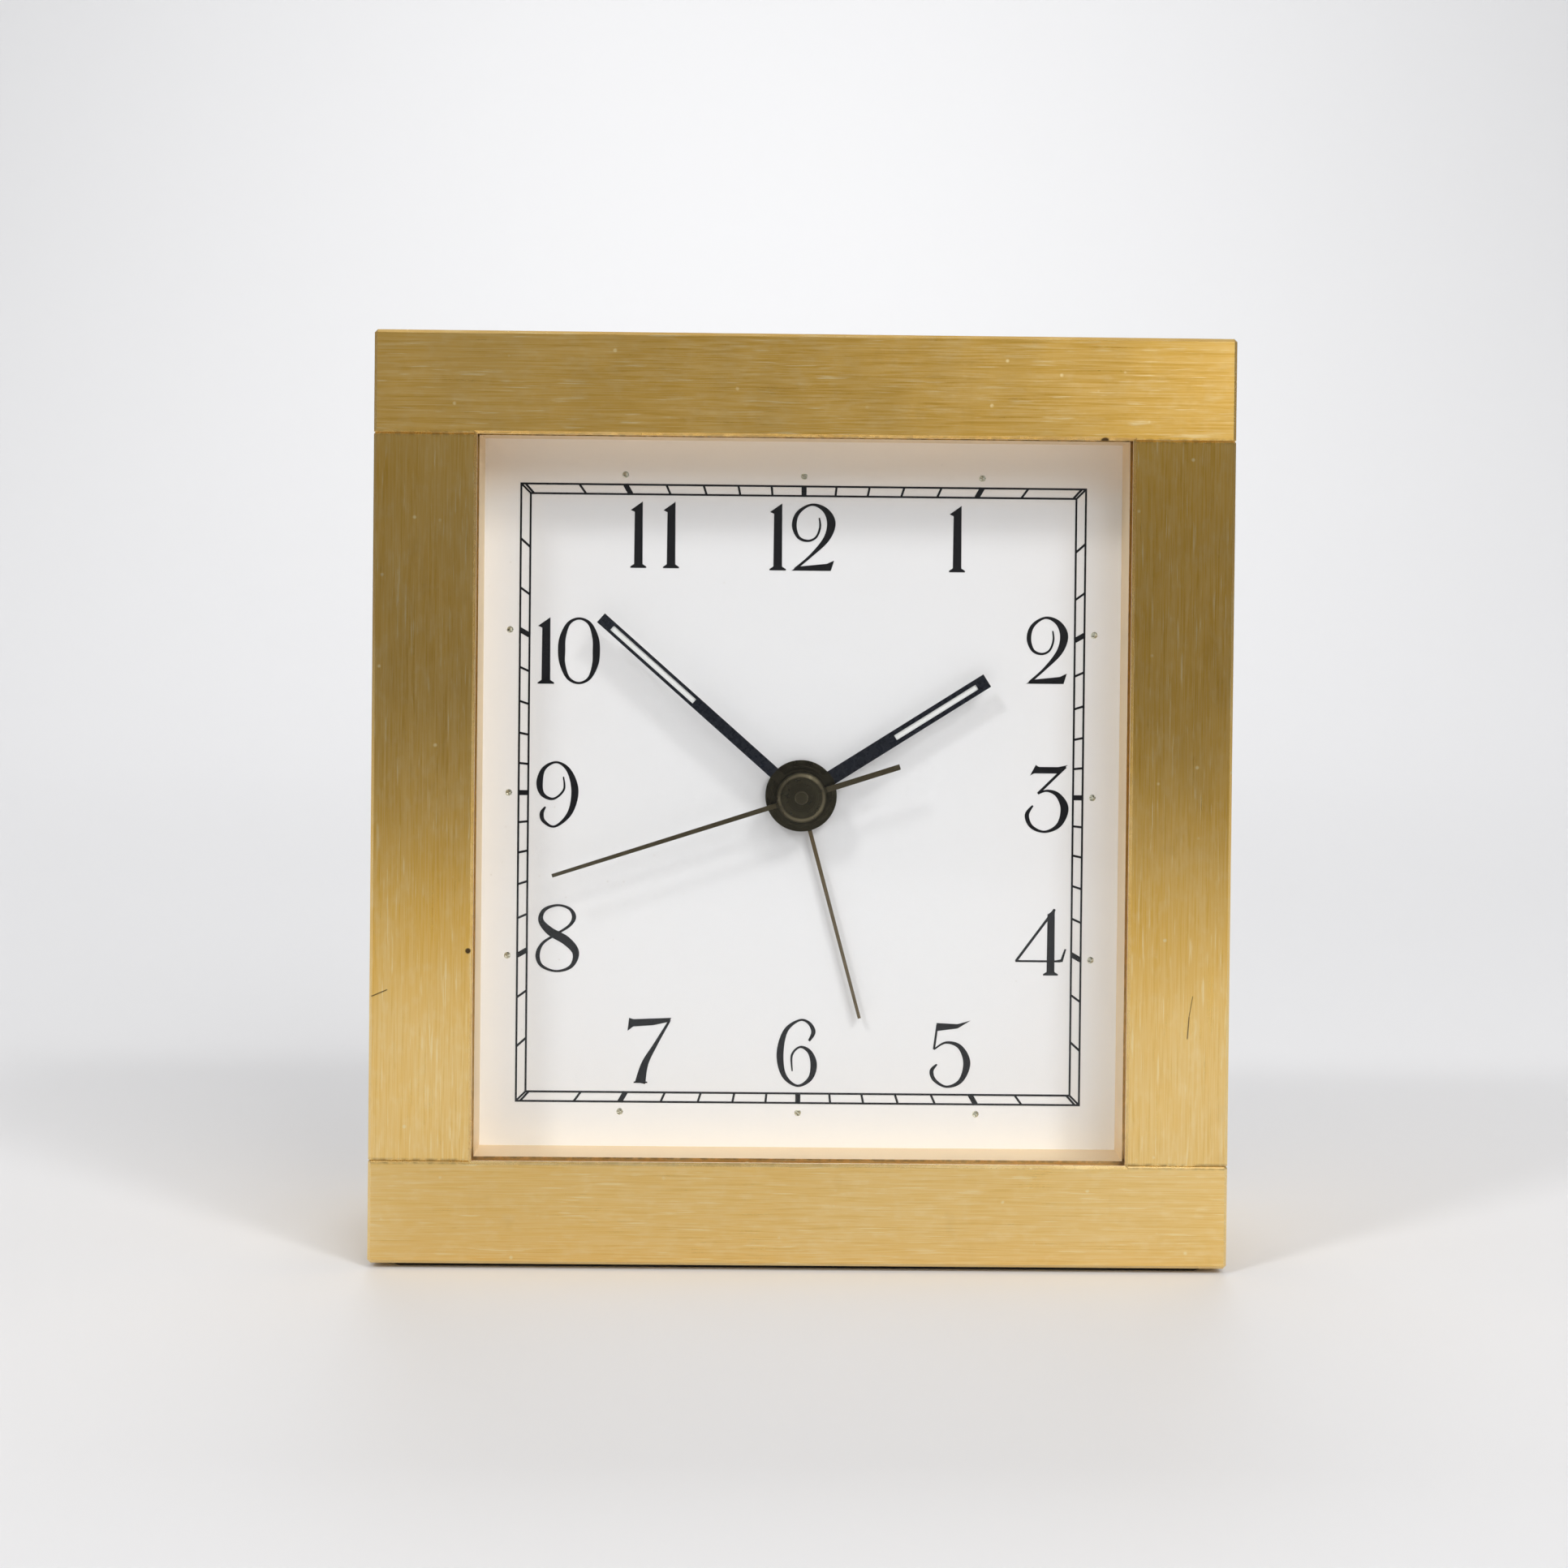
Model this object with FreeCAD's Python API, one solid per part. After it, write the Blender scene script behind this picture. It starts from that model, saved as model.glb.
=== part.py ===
import FreeCAD, Part
import math
import os

# Desk alarm clock with a battery movement, in a frame of four square brass bars.
# All sizes are millimetres. X runs to the right and Z up, as the dial is read from the front.
# A depth is counted from the front face of the brass towards +Y, into the case.
# Places in the plane of the dial are counted from the middle of the dial.
# The origin is the point on the ground under the middle of the case.

Vector = FreeCAD.Vector

# Fits and the overrun of cutting tools
running_fit = 0.05
press_gap = 0.01
slide_fit = 0.1
end_play = 0.03
overrun = 1.0

# Brass frame
bar_width = 9.1
front_lip = 0.5
inner_ledge = 0.7
rear_ledge = 4.0
rear_recess = 3.0
edge_chamfer = 0.28
seam_chamfer = 0.1
opening_chamfer = 0.25
tenon_width = 4.0
tenon_depth = 12.0
tenon_height = 3.0

# Pad under the base
pad_thickness = 0.45
pad_inset = 1.2
pad_corner = 1.5

# Glass and dial
glass_thickness = 1.5
glass_bevel = 0.15
glass_gap = 1.5
dial_thickness = 0.5
dial_hole_room = 0.3

# Hands, lengths from the middle of the dial and clock angles at rest in degrees
hand_thickness = 0.25
hand_gap = 0.5
lume_width = 0.5
lume_thickness = 0.15
minute_hand_length = 24.25
minute_hand_width = 1.06
minute_hand_boss = 2.5
minute_lume_start = 12.95
minute_lume_end_room = 1.35
hour_hand_length = 19.85
hour_hand_width = 1.32
hour_hand_boss = 2.8
hour_lume_start = 10.05
hour_lume_end_room = 1.1
seconds_hand_length = 23.5
seconds_tail_length = 9.3
seconds_root_width = 0.46
seconds_tip_width = 0.32
seconds_tail_width = 0.5
seconds_disc_radius = 2.26
seconds_disc_bevel = 0.46
seconds_bevel_depth = 0.12
cap_radius = 0.5
cap_height = 0.3
alarm_hand_length = 20.5
alarm_root_width = 0.42
alarm_tip_width = 0.1
alarm_disc_radius = 3.25
minute_angle = 311.3
hour_angle = 57.5
seconds_angle = 252.07
alarm_angle = 165.2

# Pipes that carry the hands, one inside the other
seconds_arbor_radius = 0.6
cannon_wall = 0.65
hour_pipe_wall = 0.5
alarm_pipe_wall = 0.4
cannon_journal = 1.0

# Teeth of wheels and of pinions, as shares of the module and of the pitch
addendum_share = 0.75
wheel_dedendum_share = 1.8
leaf_dedendum_share = 1.0
tip_share = 0.1
leaf_root_share = 0.25
gap_share = 0.5

# Numbers of teeth, one turn of the hour wheel for twelve of the cannon pinion
cannon_teeth = 8
minute_wheel_teeth = 24
minute_pinion_teeth = 8
hour_wheel_teeth = 32
alarm_wheel_teeth = 24
alarm_pinion_teeth = 24

# Numbers of teeth from the rotor to the centre wheel, thirty to one and sixty to one
rotor_pinion_teeth = 6
intermediate_wheel_teeth = 30
intermediate_pinion_teeth = 6
seconds_wheel_teeth = 36
seconds_pinion_teeth = 6
third_wheel_teeth = 48
third_pinion_teeth = 6
centre_wheel_teeth = 45

# Wheel work
third_distance = 9.0
rotor_distance = 7.2
motion_direction = 199.0
alarm_direction = -21.0
third_direction = 135.0
intermediate_direction = 45.0
rotor_direction = 20.0
wheel_thickness = 0.9
wheel_gap = 0.4
wheel_room = 0.35
post_radius = 0.4
post_foot = 1.2
set_arbor_radius = 0.8
pivot_wall = 0.3
pivot_end_room = 0.2

# Bridge over the wheel work and the pillars that carry it
bridge_thickness = 1.2
bridge_side_room = 3.9
bridge_top_room = 2.5
bridge_bottom_room = 1.2
bridge_corner = 2.0
pillar_side = 3.0
pillar_inset = 3.0
peg_side = 1.5

# Stepping motor
stator_width = 18.5
stator_foot = 3.8
stator_top_room = 1.4
stator_thickness = 0.8
magnet_radius = 2.4
magnet_length = 1.6
magnet_gap = 0.35
core_width = 2.2
bobbin_wall = 0.35
bobbin_flange = 0.6
flange_room = 0.2
winding_room = 0.25
winding_corner = 0.9

# Circuit board and what it carries
board_thickness = 0.8
board_height = 8.0
board_side_room = 2.0
board_top_room = 0.6
component_height = 2.2
component_room = 0.3
component_inset = 7.5
crystal_radius = 1.0
crystal_length = 6.0
chip_side = 4.5
chip_height = 1.2
chip_corner = 0.3
leaf_width = 1.6
leaf_length = 7.0
leaf_thickness = 0.2

# Sounder and the slots behind it
sounder_radius = 6.0
sounder_thickness = 0.5
sounder_rise = 9.0
sound_slot_length = 7.0
sound_slot_height = 0.9
sound_slot_pitch = 2.0
sound_slot_count = 5

# Battery, one round cell that lies along X, and its bay
battery_diameter = 14.2
battery_length = 50.2
nub_radius = 2.75
nub_height = 1.2
bay_room = 0.3
spring_room = 5.8
spring_width = 6.0
spring_rise = 4.5
spring_flat = 1.5
contact_thickness = 0.4
contact_side_room = 1.6
contact_end_room = 0.85
tongue_width = 1.6
tongue_foot = 2.0
partition = 1.0

# Moulded housing and back plate
housing_wall = 1.2
train_below = 15.775
back_thickness = 1.5
cover_clearance = 0.15
cover_side_room = 1.2
cover_end_room = 0.7
hook_width = 5.0
hook_length = 0.45
hook_thickness = 0.7
hook_gap = 0.1
hook_spacing = 36.0
grip_width = 12.0
grip_height = 0.3
grip_pitch = 1.4
grip_count = 4
plate_screw_radius = 0.8
plate_screw_length = 5.0
plate_screw_room = 0.3
plate_screw_head = 1.6
plate_screw_head_height = 0.9
plate_tongue_width = 9.0
plate_tongue_length = 1.2
plate_tongue_thickness = 0.8
plate_tongue_spacing = 42.0

# Knobs and the alarm switch
knob_radius = 4.4
knob_flutes = 24
knob_flute_depth = 0.3
knob_gap = 0.3
knob_rim_room = 0.4
knob_crown = 1.0
switch_travel = 3.0
switch_rise = 24.5
switch_stem_length = 4.0
switch_stem_height = 2.4
switch_thumb_length = 4.6
switch_thumb_height = 3.8
switch_thumb_rise = 1.5
switch_flange_length = 8.5
switch_flange_height = 4.4
switch_flange_thickness = 0.6
switch_ridge_width = 0.5
switch_ridge_height = 0.3
switch_ridge_count = 3

# Overall sizes that follow from what the case holds
bay_length = battery_length + spring_room + 2 * contact_thickness
bay_height = battery_diameter + 2 * bay_room
inner_half_width = bay_length / 2
inner_half_height = bay_height + partition + train_below
housing_half_width = inner_half_width + housing_wall
housing_half_height = inner_half_height + housing_wall
pocket_half_width = housing_half_width + slide_fit
pocket_half_height = housing_half_height + slide_fit
opening_half_width = pocket_half_width - inner_ledge
opening_half_height = pocket_half_height - inner_ledge
case_half_width = opening_half_width + bar_width
case_half_height = opening_half_height + bar_width
centre_z = pad_thickness + case_half_height

# Depths from the front face to the rear
glass_front = front_lip
glass_rear = glass_front + glass_thickness
hand_pitch = hand_thickness + hand_gap
seconds_front = glass_rear + glass_gap
minute_front = seconds_front + hand_pitch
hour_front = minute_front + hand_pitch
alarm_front = hour_front + hand_pitch
dial_front = alarm_front + hand_pitch
dial_rear = dial_front + dial_thickness
housing_front = dial_rear
inner_front = housing_front + housing_wall
wheel_level = wheel_thickness + wheel_gap
level_fronts = [inner_front + wheel_gap + step * wheel_level for step in range(7)]
alarm_level, hour_level, minute_level, centre_level, third_level, seconds_level, rotor_level = level_fronts
bridge_front = rotor_level + wheel_level
bridge_rear = bridge_front + bridge_thickness
board_rear = bridge_rear + board_thickness
train_rear = board_rear + component_height + component_room
bay_rear = inner_front + battery_diameter + 2 * bay_room
back_front = max(train_rear, bay_rear)
back_rear = back_front + back_thickness
case_depth = back_rear + rear_recess
front_y = -case_depth / 2

# Radii of the pipes round the middle of the dial
cannon_bore = seconds_arbor_radius + running_fit
cannon_radius = cannon_bore + cannon_wall
hour_bore = cannon_radius + running_fit
hour_pipe_radius = hour_bore + hour_pipe_wall
alarm_bore = hour_pipe_radius + running_fit
alarm_pipe_radius = alarm_bore + alarm_pipe_wall
pivot_depth = housing_front + pivot_wall

# Modules and centre distances, so that every pair is in mesh and clears its neighbours
third_module = 2 * third_distance / (seconds_pinion_teeth + third_wheel_teeth)
centre_module = 2 * third_distance / (third_pinion_teeth + centre_wheel_teeth)
centre_tip = centre_module * (centre_wheel_teeth / 2 + addendum_share)
seconds_tip = third_distance - post_radius - wheel_room
seconds_module = seconds_tip / (seconds_wheel_teeth / 2 + addendum_share)
intermediate_distance = seconds_module * (seconds_wheel_teeth + intermediate_pinion_teeth) / 2
rotor_module = 2 * rotor_distance / (intermediate_wheel_teeth + rotor_pinion_teeth)
motion_distance = max(centre_tip, seconds_tip) + wheel_room + set_arbor_radius
motion_module = 2 * motion_distance / (cannon_teeth + minute_wheel_teeth)
hour_module = 2 * motion_distance / (minute_pinion_teeth + hour_wheel_teeth)
alarm_module = 2 * motion_distance / (alarm_wheel_teeth + alarm_pinion_teeth)


# Return the point at a distance and direction, in degrees from +X towards +Z
def point_from(origin, distance, direction):
    angle = math.radians(direction)
    return (origin[0] + distance * math.cos(angle), origin[1] + distance * math.sin(angle))


dial_centre = (0, 0)
minute_wheel_centre = point_from(dial_centre, motion_distance, motion_direction)
alarm_set_centre = point_from(dial_centre, motion_distance, alarm_direction)
third_centre = point_from(dial_centre, third_distance, third_direction)
intermediate_centre = point_from(dial_centre, intermediate_distance, intermediate_direction)
rotor_centre = point_from(intermediate_centre, rotor_distance, rotor_direction)

# Battery bay below the wheel work, and the room above it
bay_floor = -inner_half_height
bay_top = bay_floor + bay_height
train_floor = bay_top + partition
battery_radius = battery_diameter / 2
contact_half_width = battery_radius - contact_side_room
contact_half_height = battery_radius - contact_end_room
battery_height = bay_floor + bay_room + battery_radius
battery_depth = (inner_front + back_front) / 2

# Outline of the bridge and the places of its pillars
bridge_half_width = inner_half_width - bridge_side_room
bridge_top = inner_half_height - bridge_top_room
bridge_bottom = train_floor + bridge_bottom_room
pillar_x = bridge_half_width - pillar_inset
pillar_places = [(side * pillar_x, height)
                 for side in (-1, 1)
                 for height in (bridge_bottom + pillar_inset, bridge_top - pillar_inset)]

# Outline of the stator as shares of its width and height, and where the rotor stands in it
stator_shares = [(0, 1), (0, 0.38), (0.30, 0.12), (0.30, 0), (1, 0), (1, 1),
                 (0.78, 1), (0.78, 0.43), (0.22, 0.43), (0.22, 1)]
rotor_place_share = 0.556
lug_share = 0.11
stator_left = rotor_centre[0] - rotor_place_share * stator_width
stator_bottom = rotor_centre[1] - stator_foot
stator_top = bridge_top - pillar_inset - pillar_side / 2 - stator_top_room
stator_height = stator_top - stator_bottom
lug_side = 2 * lug_share * stator_width
core_height = stator_top - lug_side / 2
lug_places = [(stator_left + stator_width * share, core_height) for share in (lug_share, 1 - lug_share)]
stator_front = third_level
stator_rear = stator_front + stator_thickness
core_rear = stator_rear + stator_thickness
coil_left = stator_left + lug_side
coil_right = stator_left + stator_width - lug_side
coil_depth = (stator_rear + core_rear) / 2
flange_half = bridge_front - coil_depth - flange_room
tube_half_depth = stator_thickness / 2 + bobbin_wall
tube_half_height = core_width / 2 + bobbin_wall

# Circuit board behind the bridge
board_half_width = pillar_x - board_side_room
board_top = bridge_top - board_top_room
board_bottom = board_top - board_height
board_middle = (board_top + board_bottom) / 2
component_place = board_half_width - component_inset

# Window of the battery cover, seat of the back plate and its screws
window_half_width = inner_half_width - cover_side_room
window_bottom = bay_floor + cover_end_room
window_top = bay_top - cover_end_room
seat_half_width = pocket_half_width + rear_ledge
seat_half_height = pocket_half_height + rear_ledge
back_half_width = seat_half_width - slide_fit
back_half_height = seat_half_height - slide_fit
plate_screw_place = (0, pocket_half_height + rear_ledge / 2)
sounder_centre = (0, sounder_rise)
knob_front = back_rear + knob_gap
knob_rear = case_depth - knob_rim_room


# Turn a place in the plane of the dial and a depth into a point of the part's frame
def place(x, depth, z):
    return Vector(x, front_y + depth, centre_z + z)


# Round bar along the depth between two depths
def rod(radius, front, rear, centre=dial_centre):
    return Part.makeCylinder(radius, rear - front, place(centre[0], front, centre[1]), Vector(0, 1, 0))


# Block between two corners
def block(left, right, front, rear, bottom, top):
    return Part.makeBox(right - left, rear - front, top - bottom, place(left, front, bottom))


# Square bar along the depth, round a place in the plane of the dial
def square_bar(side, front, rear, centre):
    half = side / 2
    return block(centre[0] - half, centre[0] + half, front, rear, centre[1] - half, centre[1] + half)


# Cylinder along X
def cross_rod(radius, left, right, depth, height):
    return Part.makeCylinder(radius, right - left, place(left, depth, height), Vector(1, 0, 0))


# Prism of a closed outline in the plane of the dial
def prism(points, front, rear):
    corners = [place(x, front, z) for x, z in points]
    face = Part.Face(Part.makePolygon(corners + corners[:1]))
    return face.extrude(Vector(0, rear - front, 0))


# Join pieces of one solid and take out the seams between them
def joined(first, *others):
    return first.fuse(list(others)).removeSplitter()


# Take several tools out of a shape
def without(shape, *tools):
    return shape.cut(list(tools))


# Edges of a shape whose middle passes a test
def edges_where(shape, test):
    return [edge for edge in shape.Edges if test(edge.CenterOfMass)]


# Shape turned about the middle of the dial by a clock angle
def turned(shape, clock_degrees):
    result = shape.copy()
    result.rotate(place(0, 0, 0), Vector(0, 1, 0), clock_degrees)
    return result


# Outline points of a ring of teeth; each corner is a radius and a share of the pitch
def tooth_ring(centre, teeth, phase, corners):
    pitch_angle = 2 * math.pi / teeth
    points = []
    for tooth in range(teeth):
        for radius, share in corners:
            angle = phase + (tooth + share) * pitch_angle
            points.append((centre[0] + radius * math.cos(angle), centre[1] + radius * math.sin(angle)))
    return points


# Wheel with straight-sided teeth and pointed gaps between them
def wheel_disc(centre, teeth, module, phase, front):
    tip_radius = module * (teeth / 2 + addendum_share)
    gap_radius = module * (teeth / 2 - wheel_dedendum_share)
    corners = ((tip_radius, -tip_share), (tip_radius, tip_share), (gap_radius, gap_share))
    return prism(tooth_ring(centre, teeth, phase, corners), front, front + wheel_thickness)


# Pinion with a few strong leaves and a wide gap between them
def pinion_leaves(centre, teeth, module, phase, front, rear):
    tip_radius = module * (teeth / 2 + addendum_share)
    gap_radius = module * (teeth / 2 - leaf_dedendum_share)
    corners = ((gap_radius, -leaf_root_share), (tip_radius, -tip_share),
               (tip_radius, tip_share), (gap_radius, leaf_root_share))
    return prism(tooth_ring(centre, teeth, phase, corners), front, rear)


# Phase of a second wheel so that its gap meets the first wheel's tooth
def meshed_phase(first_phase, first_teeth, direction, second_teeth):
    angle = math.radians(direction)
    return angle + math.pi - first_teeth / second_teeth * (first_phase - angle) - math.pi / second_teeth


third_phase = meshed_phase(0, seconds_pinion_teeth, third_direction, third_wheel_teeth)
centre_phase = meshed_phase(third_phase, third_pinion_teeth, third_direction + 180, centre_wheel_teeth)
intermediate_phase = meshed_phase(0, seconds_wheel_teeth, intermediate_direction, intermediate_pinion_teeth)
rotor_phase = meshed_phase(intermediate_phase, intermediate_wheel_teeth, rotor_direction, rotor_pinion_teeth)
minute_phase = meshed_phase(0, cannon_teeth, motion_direction, minute_wheel_teeth)
hour_phase = meshed_phase(minute_phase, minute_pinion_teeth, motion_direction + 180, hour_wheel_teeth)
alarm_set_phase = meshed_phase(0, alarm_wheel_teeth, alarm_direction, alarm_pinion_teeth)


# Tool that breaks the front edge of the opening
def opening_bevel():
    rectangles = []
    for depth, grow in ((-overrun, opening_chamfer + overrun), (opening_chamfer, 0)):
        half_width = opening_half_width + grow
        half_height = opening_half_height + grow
        signs = ((-1, -1), (1, -1), (1, 1), (-1, 1))
        corners = [place(x * half_width, depth, z * half_height) for x, z in signs]
        rectangles.append(Part.makePolygon(corners + corners[:1]))
    return Part.makeLoft(rectangles, True, True)


# Space inside the bars: groove of the glass, pocket of the dial and housing, seat of the back plate
def frame_cavity():
    groove = block(-pocket_half_width, pocket_half_width, glass_front - end_play, glass_rear + end_play,
                   -pocket_half_height, pocket_half_height)
    pocket = block(-pocket_half_width, pocket_half_width, dial_front, case_depth + overrun,
                   -pocket_half_height, pocket_half_height)
    seat = block(-seat_half_width, seat_half_width, back_front, case_depth + overrun,
                 -seat_half_height, seat_half_height)
    return [groove, pocket, seat, opening_bevel()]


# Tenon that stands on both ends of a side bar, grown by a gap where it cuts its mortises
def frame_tenon(side, gap):
    middle = side * (pocket_half_width + case_half_width) / 2
    half_width = tenon_width / 2 + gap
    half_depth = tenon_depth / 2 + gap
    reach = opening_half_height + tenon_height + gap
    return block(middle - half_width, middle + half_width,
                 back_front / 2 - half_depth, back_front / 2 + half_depth, -reach, reach)


# Tongues at the foot of the back plate, grown by a gap where they cut their slots
def plate_tongues(gap):
    half = plate_tongue_width / 2 + gap
    bottom = -back_half_height - plate_tongue_length - gap
    return [block(side * plate_tongue_spacing / 2 - half, side * plate_tongue_spacing / 2 + half,
                  back_front, back_front + plate_tongue_thickness + gap, bottom, -pocket_half_height)
            for side in (-1, 1)]


# Top or bottom bar, the full width of the case; level is 1 for the top and -1 for the bottom
def cross_bar(level):
    inner = opening_half_height * level
    outer = case_half_height * level
    bar = block(-case_half_width, case_half_width, 0, case_depth, min(inner, outer), max(inner, outer))
    seam_z = centre_z + inner
    outside = edges_where(bar, lambda middle: abs(middle.z - seam_z) > seam_chamfer)
    bar = bar.makeChamfer(edge_chamfer, outside)
    seam = edges_where(bar, lambda middle: abs(middle.z - seam_z) < seam_chamfer)
    bar = bar.makeChamfer(seam_chamfer, seam)
    hole = rod(plate_screw_radius + press_gap, back_front - plate_screw_length - plate_screw_room,
               case_depth,
               plate_screw_place)
    return without(bar, *frame_cavity(), *plate_tongues(slide_fit), hole,
                   frame_tenon(-1, press_gap), frame_tenon(1, press_gap))


# Side bar between the cross bars; side is 1 for the right and -1 for the left
def side_bar(side):
    inner = opening_half_width * side
    outer = case_half_width * side
    bar = block(min(inner, outer), max(inner, outer), 0, case_depth, -opening_half_height,
                opening_half_height)
    long_edges = edges_where(bar, lambda middle: abs(middle.x - outer) < seam_chamfer
                             and abs(middle.z - centre_z) < seam_chamfer)
    bar = bar.makeChamfer(edge_chamfer, long_edges)
    ends = edges_where(bar, lambda middle: abs(abs(middle.z - centre_z) - opening_half_height) < seam_chamfer
                       and abs(middle.x - inner) > seam_chamfer)
    bar = bar.makeChamfer(seam_chamfer, ends)
    return without(joined(bar, frame_tenon(side, 0)), *frame_cavity())


# Thin pad that the clock stands on
def base_pad():
    bottom = -case_half_height - pad_thickness
    pad = block(pad_inset - case_half_width, case_half_width - pad_inset, pad_inset, case_depth - pad_inset,
                bottom, -case_half_height)
    half_height = pad_thickness / 2
    corners = edges_where(pad, lambda middle: abs(middle.z - half_height) < half_height / 2)
    return pad.makeChamfer(pad_corner, corners)


def glass():
    half_width = pocket_half_width - slide_fit
    half_height = pocket_half_height - slide_fit
    pane = block(-half_width, half_width, glass_front, glass_rear, -half_height, half_height)
    return pane.makeChamfer(glass_bevel, pane.Edges)


def dial():
    plate = block(-housing_half_width, housing_half_width, dial_front, dial_rear,
                  -housing_half_height, housing_half_height)
    return without(plate, rod(alarm_pipe_radius + dial_hole_room, dial_front - overrun, dial_rear + overrun))


# Straight blade that points to twelve, of two widths
def blade(start, end, start_width, end_width, front, rear):
    points = [(-start_width / 2, start), (start_width / 2, start), (end_width / 2, end),
              (-end_width / 2, end)]
    return prism(points, front, rear)


# Baton hand with a round boss on its pipe and a slot for the lume
def baton_hand(length, width, boss, pipe_radius, front, lume_start, lume_end_room):
    rear = front + hand_thickness
    hand = joined(blade(0, length, width, width, front, rear), rod(boss, front, rear))
    slot = blade(lume_start, length - lume_end_room, lume_width, lume_width, front - overrun, rear + overrun)
    return without(hand, slot, rod(pipe_radius + press_gap, front - overrun, rear + overrun))


# Strip of lume that fills the slot of a baton hand
def lume_strip(length, front, lume_start, lume_end_room):
    rear = front + hand_thickness
    return blade(lume_start, length - lume_end_room, lume_width, lume_width, rear - lume_thickness, rear)


# Sweep seconds hand with its tail and a bevelled disc in the middle
def seconds_hand():
    rear = seconds_front + hand_thickness
    bevel_rear = seconds_front + seconds_bevel_depth
    disc = rod(seconds_disc_radius, bevel_rear, rear)
    bevel = Part.makeCone(seconds_disc_radius - seconds_disc_bevel, seconds_disc_radius, seconds_bevel_depth,
                          place(0, seconds_front, 0), Vector(0, 1, 0))
    point = blade(0, seconds_hand_length, seconds_root_width, seconds_tip_width, bevel_rear, rear)
    tail = blade(-seconds_tail_length, 0, seconds_tail_width, seconds_tail_width, bevel_rear, rear)
    bore = rod(seconds_arbor_radius + press_gap, seconds_front - overrun, rear + overrun)
    return without(joined(disc, bevel, point, tail), bore)


# Cap on the end of the seconds arbor
def seconds_hand_cap():
    return rod(cap_radius, seconds_front - cap_height, seconds_front)


def alarm_hand():
    rear = alarm_front + hand_thickness
    point = blade(0, alarm_hand_length, alarm_root_width, alarm_tip_width, alarm_front, rear)
    bore = rod(alarm_pipe_radius + press_gap, alarm_front - overrun, rear + overrun)
    return without(joined(point, rod(alarm_disc_radius, alarm_front, rear)), bore)


# Pipe with a wheel at its rear end, on which a hand sits
def pipe_wheel(teeth, module, phase, level, bore, pipe_radius, pipe_front):
    wheel = wheel_disc(dial_centre, teeth, module, phase, level)
    body = joined(wheel, rod(pipe_radius, pipe_front, level))
    return without(body, rod(bore, pipe_front - overrun, level + wheel_thickness + overrun))


# Cannon pinion: pipe of the minute hand, pinion leaves and the journal of the centre wheel
def cannon_pinion():
    leaves_front = minute_level - wheel_gap / 2
    leaves_rear = centre_level - wheel_gap / 2
    journal_rear = centre_level + wheel_level - wheel_gap / 2
    body = joined(rod(cannon_radius, minute_front, leaves_front),
                  pinion_leaves(dial_centre, cannon_teeth, motion_module, 0, leaves_front, leaves_rear),
                  rod(cannon_journal, leaves_rear, journal_rear))
    return without(body, rod(cannon_bore, minute_front - overrun, journal_rear + overrun))


def centre_wheel():
    wheel = wheel_disc(dial_centre, centre_wheel_teeth, centre_module, centre_phase, centre_level)
    bore = rod(cannon_journal + running_fit, centre_level - overrun, centre_level + wheel_level)
    return without(wheel, bore)


# Arbor of the seconds hand with its pinion and wheel
def seconds_arbor():
    wheel_rear = seconds_level + wheel_thickness
    return joined(rod(seconds_arbor_radius, seconds_front, third_level),
                  pinion_leaves(dial_centre, seconds_pinion_teeth, third_module, 0, third_level,
                                seconds_level),
                  wheel_disc(dial_centre, seconds_wheel_teeth, seconds_module, 0, seconds_level),
                  rod(seconds_arbor_radius, wheel_rear, bridge_rear - pivot_end_room))


# Wheel with a pinion in front of it, both on a fixed post
def third_wheel():
    pinion = pinion_leaves(third_centre, third_pinion_teeth, centre_module, third_phase, centre_level,
                           third_level)
    wheel = wheel_disc(third_centre, third_wheel_teeth, third_module, third_phase, third_level)
    bore = rod(post_radius + running_fit, centre_level - overrun, third_level + wheel_level, third_centre)
    return without(joined(pinion, wheel), bore)


# Wheel driven by the rotor, with the pinion that drives the seconds wheel
def intermediate_wheel():
    pinion = pinion_leaves(intermediate_centre, intermediate_pinion_teeth, seconds_module,
                           intermediate_phase,
                           seconds_level, rotor_level)
    wheel = wheel_disc(intermediate_centre, intermediate_wheel_teeth, rotor_module, intermediate_phase,
                       rotor_level)
    bore = rod(post_radius + running_fit, seconds_level - overrun, rotor_level + wheel_level,
               intermediate_centre)
    return without(joined(pinion, wheel), bore)


# Arbor of the rotor; its magnet turns in the hole of the stator
def rotor_arbor():
    pinion_rear = rotor_level + wheel_thickness
    return joined(rod(post_radius, pivot_depth + end_play, rotor_level, rotor_centre),
                  pinion_leaves(rotor_centre, rotor_pinion_teeth, rotor_module, rotor_phase,
                                rotor_level, pinion_rear),
                  rod(post_radius, pinion_rear, bridge_rear - pivot_end_room, rotor_centre))


def rotor_magnet():
    middle = (stator_front + stator_rear) / 2
    front = middle - magnet_length / 2
    rear = middle + magnet_length / 2
    return without(rod(magnet_radius, front, rear, rotor_centre),
                   rod(post_radius + press_gap, front - overrun, rear + overrun, rotor_centre))


# Minute wheel, its pinion, and the arbor that brings the time-setting knob to the rear
def minute_wheel():
    wheel_rear = minute_level + wheel_thickness
    return joined(rod(set_arbor_radius, pivot_depth + end_play, hour_level, minute_wheel_centre),
                  pinion_leaves(minute_wheel_centre, minute_pinion_teeth, hour_module, minute_phase,
                                hour_level, minute_level),
                  wheel_disc(minute_wheel_centre, minute_wheel_teeth, motion_module, minute_phase,
                             minute_level),
                  rod(set_arbor_radius, wheel_rear, knob_rear - knob_crown, minute_wheel_centre))


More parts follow.
